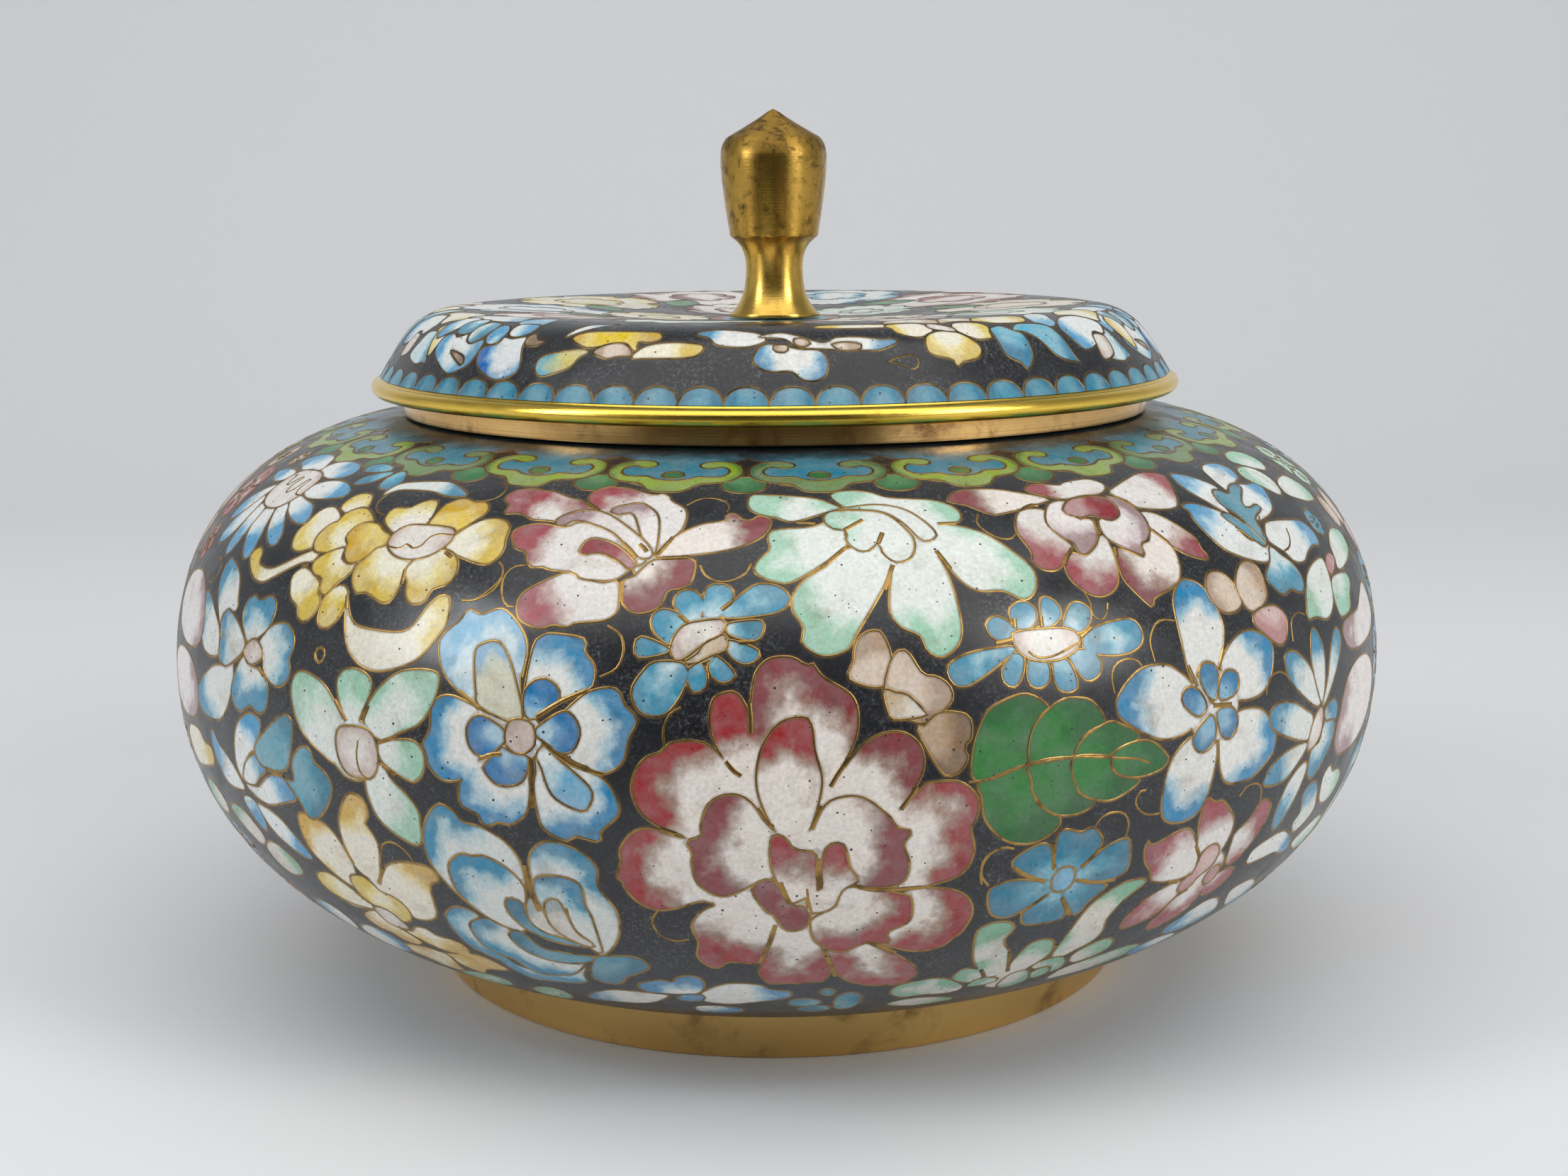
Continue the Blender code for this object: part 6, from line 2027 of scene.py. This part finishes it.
# Cream flower.
def drawCreamFlower(draw):
    draw.petals("cream", (21.1, 16), [
        [16.6,12.3, 17.7,14, 20,15.3, 23,15.8, 25.2,15.3, 26,13.3, 25.2,11.8, 20.7,12.4]])
    draw.petals("cream", (29.4, 16), [
        [25.6,11.8, 26.7,14, 29,15.3, 31.2,15.3, 32.7,14, 32.4,11.8, 30.1,12.3, 27.9,12.2]])
    draw.petals("yellow", (37.2, 15), [
        [31.6,12.3, 33.5,14, 37.2,14.7, 41,14.3, 42.5,13, 41.7,11.3, 39.5,10.8, 35,11, 33.1,11.7]])
    draw.petals("paleYellow", (23.2, 10.5), [
        [16.3,11.3, 17.4,12, 21.1,12.2, 22.8,11.3, 23.2,9.7, 20.4,8.6, 17.6,9.5, 17.2,10.5]])
    draw.petals("paleYellow", (26.7, 10.3), [
        [26.7,9.8, 26.9,11, 28.2,11.8, 31.6,11.5, 32.7,10.5, 32.7,9.8, 32,8.8, 31.9,8, 29,8]])
    draw.petals("yellow", (25.2, 9.7), [
        [21.3,8.5, 23,9.5, 24.9,9.7, 26.9,9.2, 29,7.2, 29,6, 27.9,5.2, 25.6,4.8, 25,4.3, 24.3,4.5, 24.1,5.2,
         21.1,6.2]])
    draw.petals("ivory", (24.9, 10.7), [
        [22.7,11, 23.2,11.7, 24.1,11.7, 26.5,10.5, 26.9,9.8, 26.4,9.4, 23.4,10.1]])


# Turquoise leaves.
def drawTurquoiseLeaves(draw):
    draw.petals("brightTurquoise", (35.3, 9.7), [
        [32.5,9.3, 33.1,10, 35,10.3, 36.5,9.2, 37.8,8.3, 37.4,5.3, 35.5,3.4, 34.8,4.3, 33.1,5.2, 32.5,6.3]])
    draw.petals("brightTurquoise", (38, 9.7), [
        [36.5,9.2, 38.3,10.5, 41,10.5, 43.6,10, 44.7,8.7, 45.5,4.7, 46,3.8, 42.1,4.8, 39.8,7.7, 38.3,8.8]])


# Blue and white flower at the right.
def drawLidFlower(draw):
    draw.petals("paleBlue", (46.2, 15.3), [
        [42.5,10.7, 43.2,12.7, 45.5,14.3, 48.5,15, 49.2,13.3, 47.7,11.3, 47,10, 45.1,9.3, 43.6,10.1]])
    draw.petals("yellow", (57.4, 15.3), [
        [51.5,12.3, 53.7,14, 57.4,15, 61.9,15, 64.4,14, 64.4,11.7, 60.8,10.3, 58.9,9.5, 55.2,11.8]])
    draw.petals("azureWhite", (55.6, 11.3), [
        [46.4,9, 48.8,11, 51.5,11.7, 54.4,11.7, 56.7,10.7, 58,9.3, 57.1,7.8, 55.9,7.3, 54.4,7.8, 53,7.5,
         52.2,6, 49.2,5.3, 47.7,6]])
    draw.petals("ivory", (53.7, 6), [
        [51.8,4.5, 52.2,6.3, 53.1,7.5, 55.6,7.2, 55.9,5.7, 55.2,4.3, 52.4,3.7]])
    draw.petals("yellow", (64.6, 8), [
        [60.8,8.7, 62.3,10, 64.4,10.3, 65.5,8.3, 64.4,4.5, 61.4,6.7]])


def drawLid(draw):
    for flower in (drawPaleLeaves, drawTippedLeaf, drawYellowLeaves, drawMiddleFlower, drawCreamFlower,
                   drawTurquoiseLeaves, drawLidFlower):
        flower(draw)


# Flowers on the lid's flat top, in millimetres from the axis as seen from above, with the
# camera's side at negative y. Rings of petals: how many, length, width, turn in degrees, and
# the shapes that the flowers have in turns.
lidTop = {
    "large": {"from": -70, "radius": 32,
              "rings": [(6, 10.5, 9, 0, "ruffle", "notch"), (5, 5, 4.6, 30, "round", "round")],
              "enamels": ["dustyPeony", "mint", "cream", "redPeony", "turquoiseWhite",
                          "dustyPeony", "yellow", "blueWhite", "redPeony", "mint"]},
    "small": {"from": -105, "radius": 15.5,
              "rings": [(6, 7.4, 6, 0, "notch", "notch"), (4, 3, 3, 30, "round", "round")],
              "enamels": ["redPeony", "cream", "mint", "dustyPeony", "yellow"]},
    "leaf": {"radius": 22.5, "length": 8, "width": 5, "turn": -95},
    "copper": 1.6,           # width of bare copper round the knob's foot
}


def drawLidTop(draw):
    order = np.argsort(draw.skin.path[:, 0])
    inwards = draw.skin.path[order, 0], draw.skin.along[order]

    def fromAbove(x, y):
        return math.degrees(math.atan2(x, -y)), float(np.interp(math.hypot(x, y) * mm, *inwards))

    def petalsRound(radius, angle, enamel, count, length, width, turn, kind):
        x, y = radius * math.cos(angle), radius * math.sin(angle)
        group = draw.newGroup()
        for i in range(count):
            outline = petalOutline(kind, turn + 360 * i / count, length, width, (0, 0))
            outline = smoothLine([(x + u * square[0], y + v) for u, v in outline], 4, True)
            flat = np.array([fromAbove(*spot) for spot in outline])
            flat[:, 0] = np.degrees(np.unwrap(np.radians(flat[:, 0])))
            base = np.array(fromAbove(x, y))
            base[0] += 360 * round((flat[:, 0].mean() - base[0]) / 360)
            draw.cell(flat, enamel, base, group, rounded=False)

    for size in ("large", "small"):
        look = lidTop[size]
        pitch = 360 // len(look["enamels"])
        for i, enamel in enumerate(look["enamels"]):
            angle = math.radians(pitch * i + look["from"])
            for count, length, width, turn, *kinds in look["rings"]:
                petalsRound(look["radius"], angle, enamel, count, length, width,
                            pitch * i + turn, kinds[i % 2])
            if size == "large":
                leaf = lidTop["leaf"]
                angle += math.radians(pitch / 2)
                petalsRound(leaf["radius"], angle, "leaf", 1, leaf["length"], leaf["width"],
                            pitch * i + leaf["turn"], "point")
    edge, top = draw.skin.length - lidTop["copper"], draw.skin.length + 1
    side = halfTurn + 1
    draw.cell([(-side, edge), (side, edge), (side, top), (-side, top)], "copper", rounded=False)


# The whole jar

report("frame loaded")
bpy.context.scene.view_settings.view_transform = "Standard"
makeCamera()
makeFloor()
for name, values in lights.items():
    makeLight(name, *values)
makeRoom()
report("camera, floor and lights")

bowlSection, lidSection = sectionOf("jar_body"), sectionOf("lid")
bowlStart, lidStart = lowest(bowlSection), lowest(lidSection)
bowlSheet = Sheet(Skin(smoothRun(bowlSection, bowlStart)), "charcoal")
lidSheet = Sheet(Skin(smoothRun(lidSection, lidStart)), "charcoal")

drawBorder(bowlSheet)
for bowlSheet.turn in (0.0, 180.0):
    drawFront(bowlSheet)
drawSides(bowlSheet)
drawLidTop(lidSheet)
for lidSheet.turn in (118, 238, 0):
    drawLid(lidSheet)
drawLidEdge(lidSheet)
report("pattern drawn")

enamel = polishedEnamel(enamelLook)
lining = liningEnamel(liningLook)
tree, sockets = wireTree()
points, lines = makeEnamel(bowlSheet, "bowl_enamel", 12, enamel)
wires = sheetWires(bowlSheet, points, lines)
brass = wornMetal("drawn gilt wire")
for side in ("front", "back"):
    chosen = [w for w in wires if (math.cos(math.radians(w[0][:, 0].mean())) > 0) == (side == "front")]
    makeWires("bowl_wires_" + side, bowlSheet.skin, chosen, brass, tree, sockets)
report("bowl enamel and wires")
points, lines = makeEnamel(lidSheet, "lid_enamel", 4, enamel)
# the lid's wires take the darker copy of the wire metal, as painted shade
makeWires("lid_wires", lidSheet.skin, sheetWires(lidSheet, points, lines),
          wornMetal("shaded gilt wire"), tree, sockets)
report("lid enamel and wires")

for node, slot, section, start in (("jar_body", "bowl_enamel", bowlSection, bowlStart),
                                   ("lid", "lid_enamel", lidSection, lidStart)):
    shell = setBack(section, start, len(smoothRun(section, start)), turning["underEnamel"])
    shell = softened(shell, turning["shellCorner"], False)
    shell = turnedPiece(node + "_lining", shell, turning["shellSides"], lining, False)
    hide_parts(node)
for node, slot, metal in (("foot_ring", "satin_brass", "satin brass foot"),
                          ("neck_collar", "rosy_gilt", "rosy worn gilding"),
                          ("lid_rim", "bright_gilt", "polished gilding")):
    outline = sectionOf(node)
    if node == "lid_rim":
        # its top rises to meet the enamel's lower edge
        inner = max(range(len(outline)), key=lambda i: outline[i][1] - outline[i][0] * 1e-3)
        radius, top = outline[inner]
        top += turning["rimRise"]
        outline[inner:inner + 1] = [(lidSection[lidStart][0] - 0.1 * mm, top), (radius, top)]
    outline = softened(outline, turning["corner"])
    ring = turnedPiece(node + "_turned", outline, turning["ringSides"], wornMetal(metal))
    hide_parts(node)
outline = softened(sectionOf("finial"), turning["corner"], False)
knob = turnedPiece("finial_turned", outline, turning["knobSides"], wornMetal("aged turned brass"),
                   False)
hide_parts("finial")
report("turned pieces")
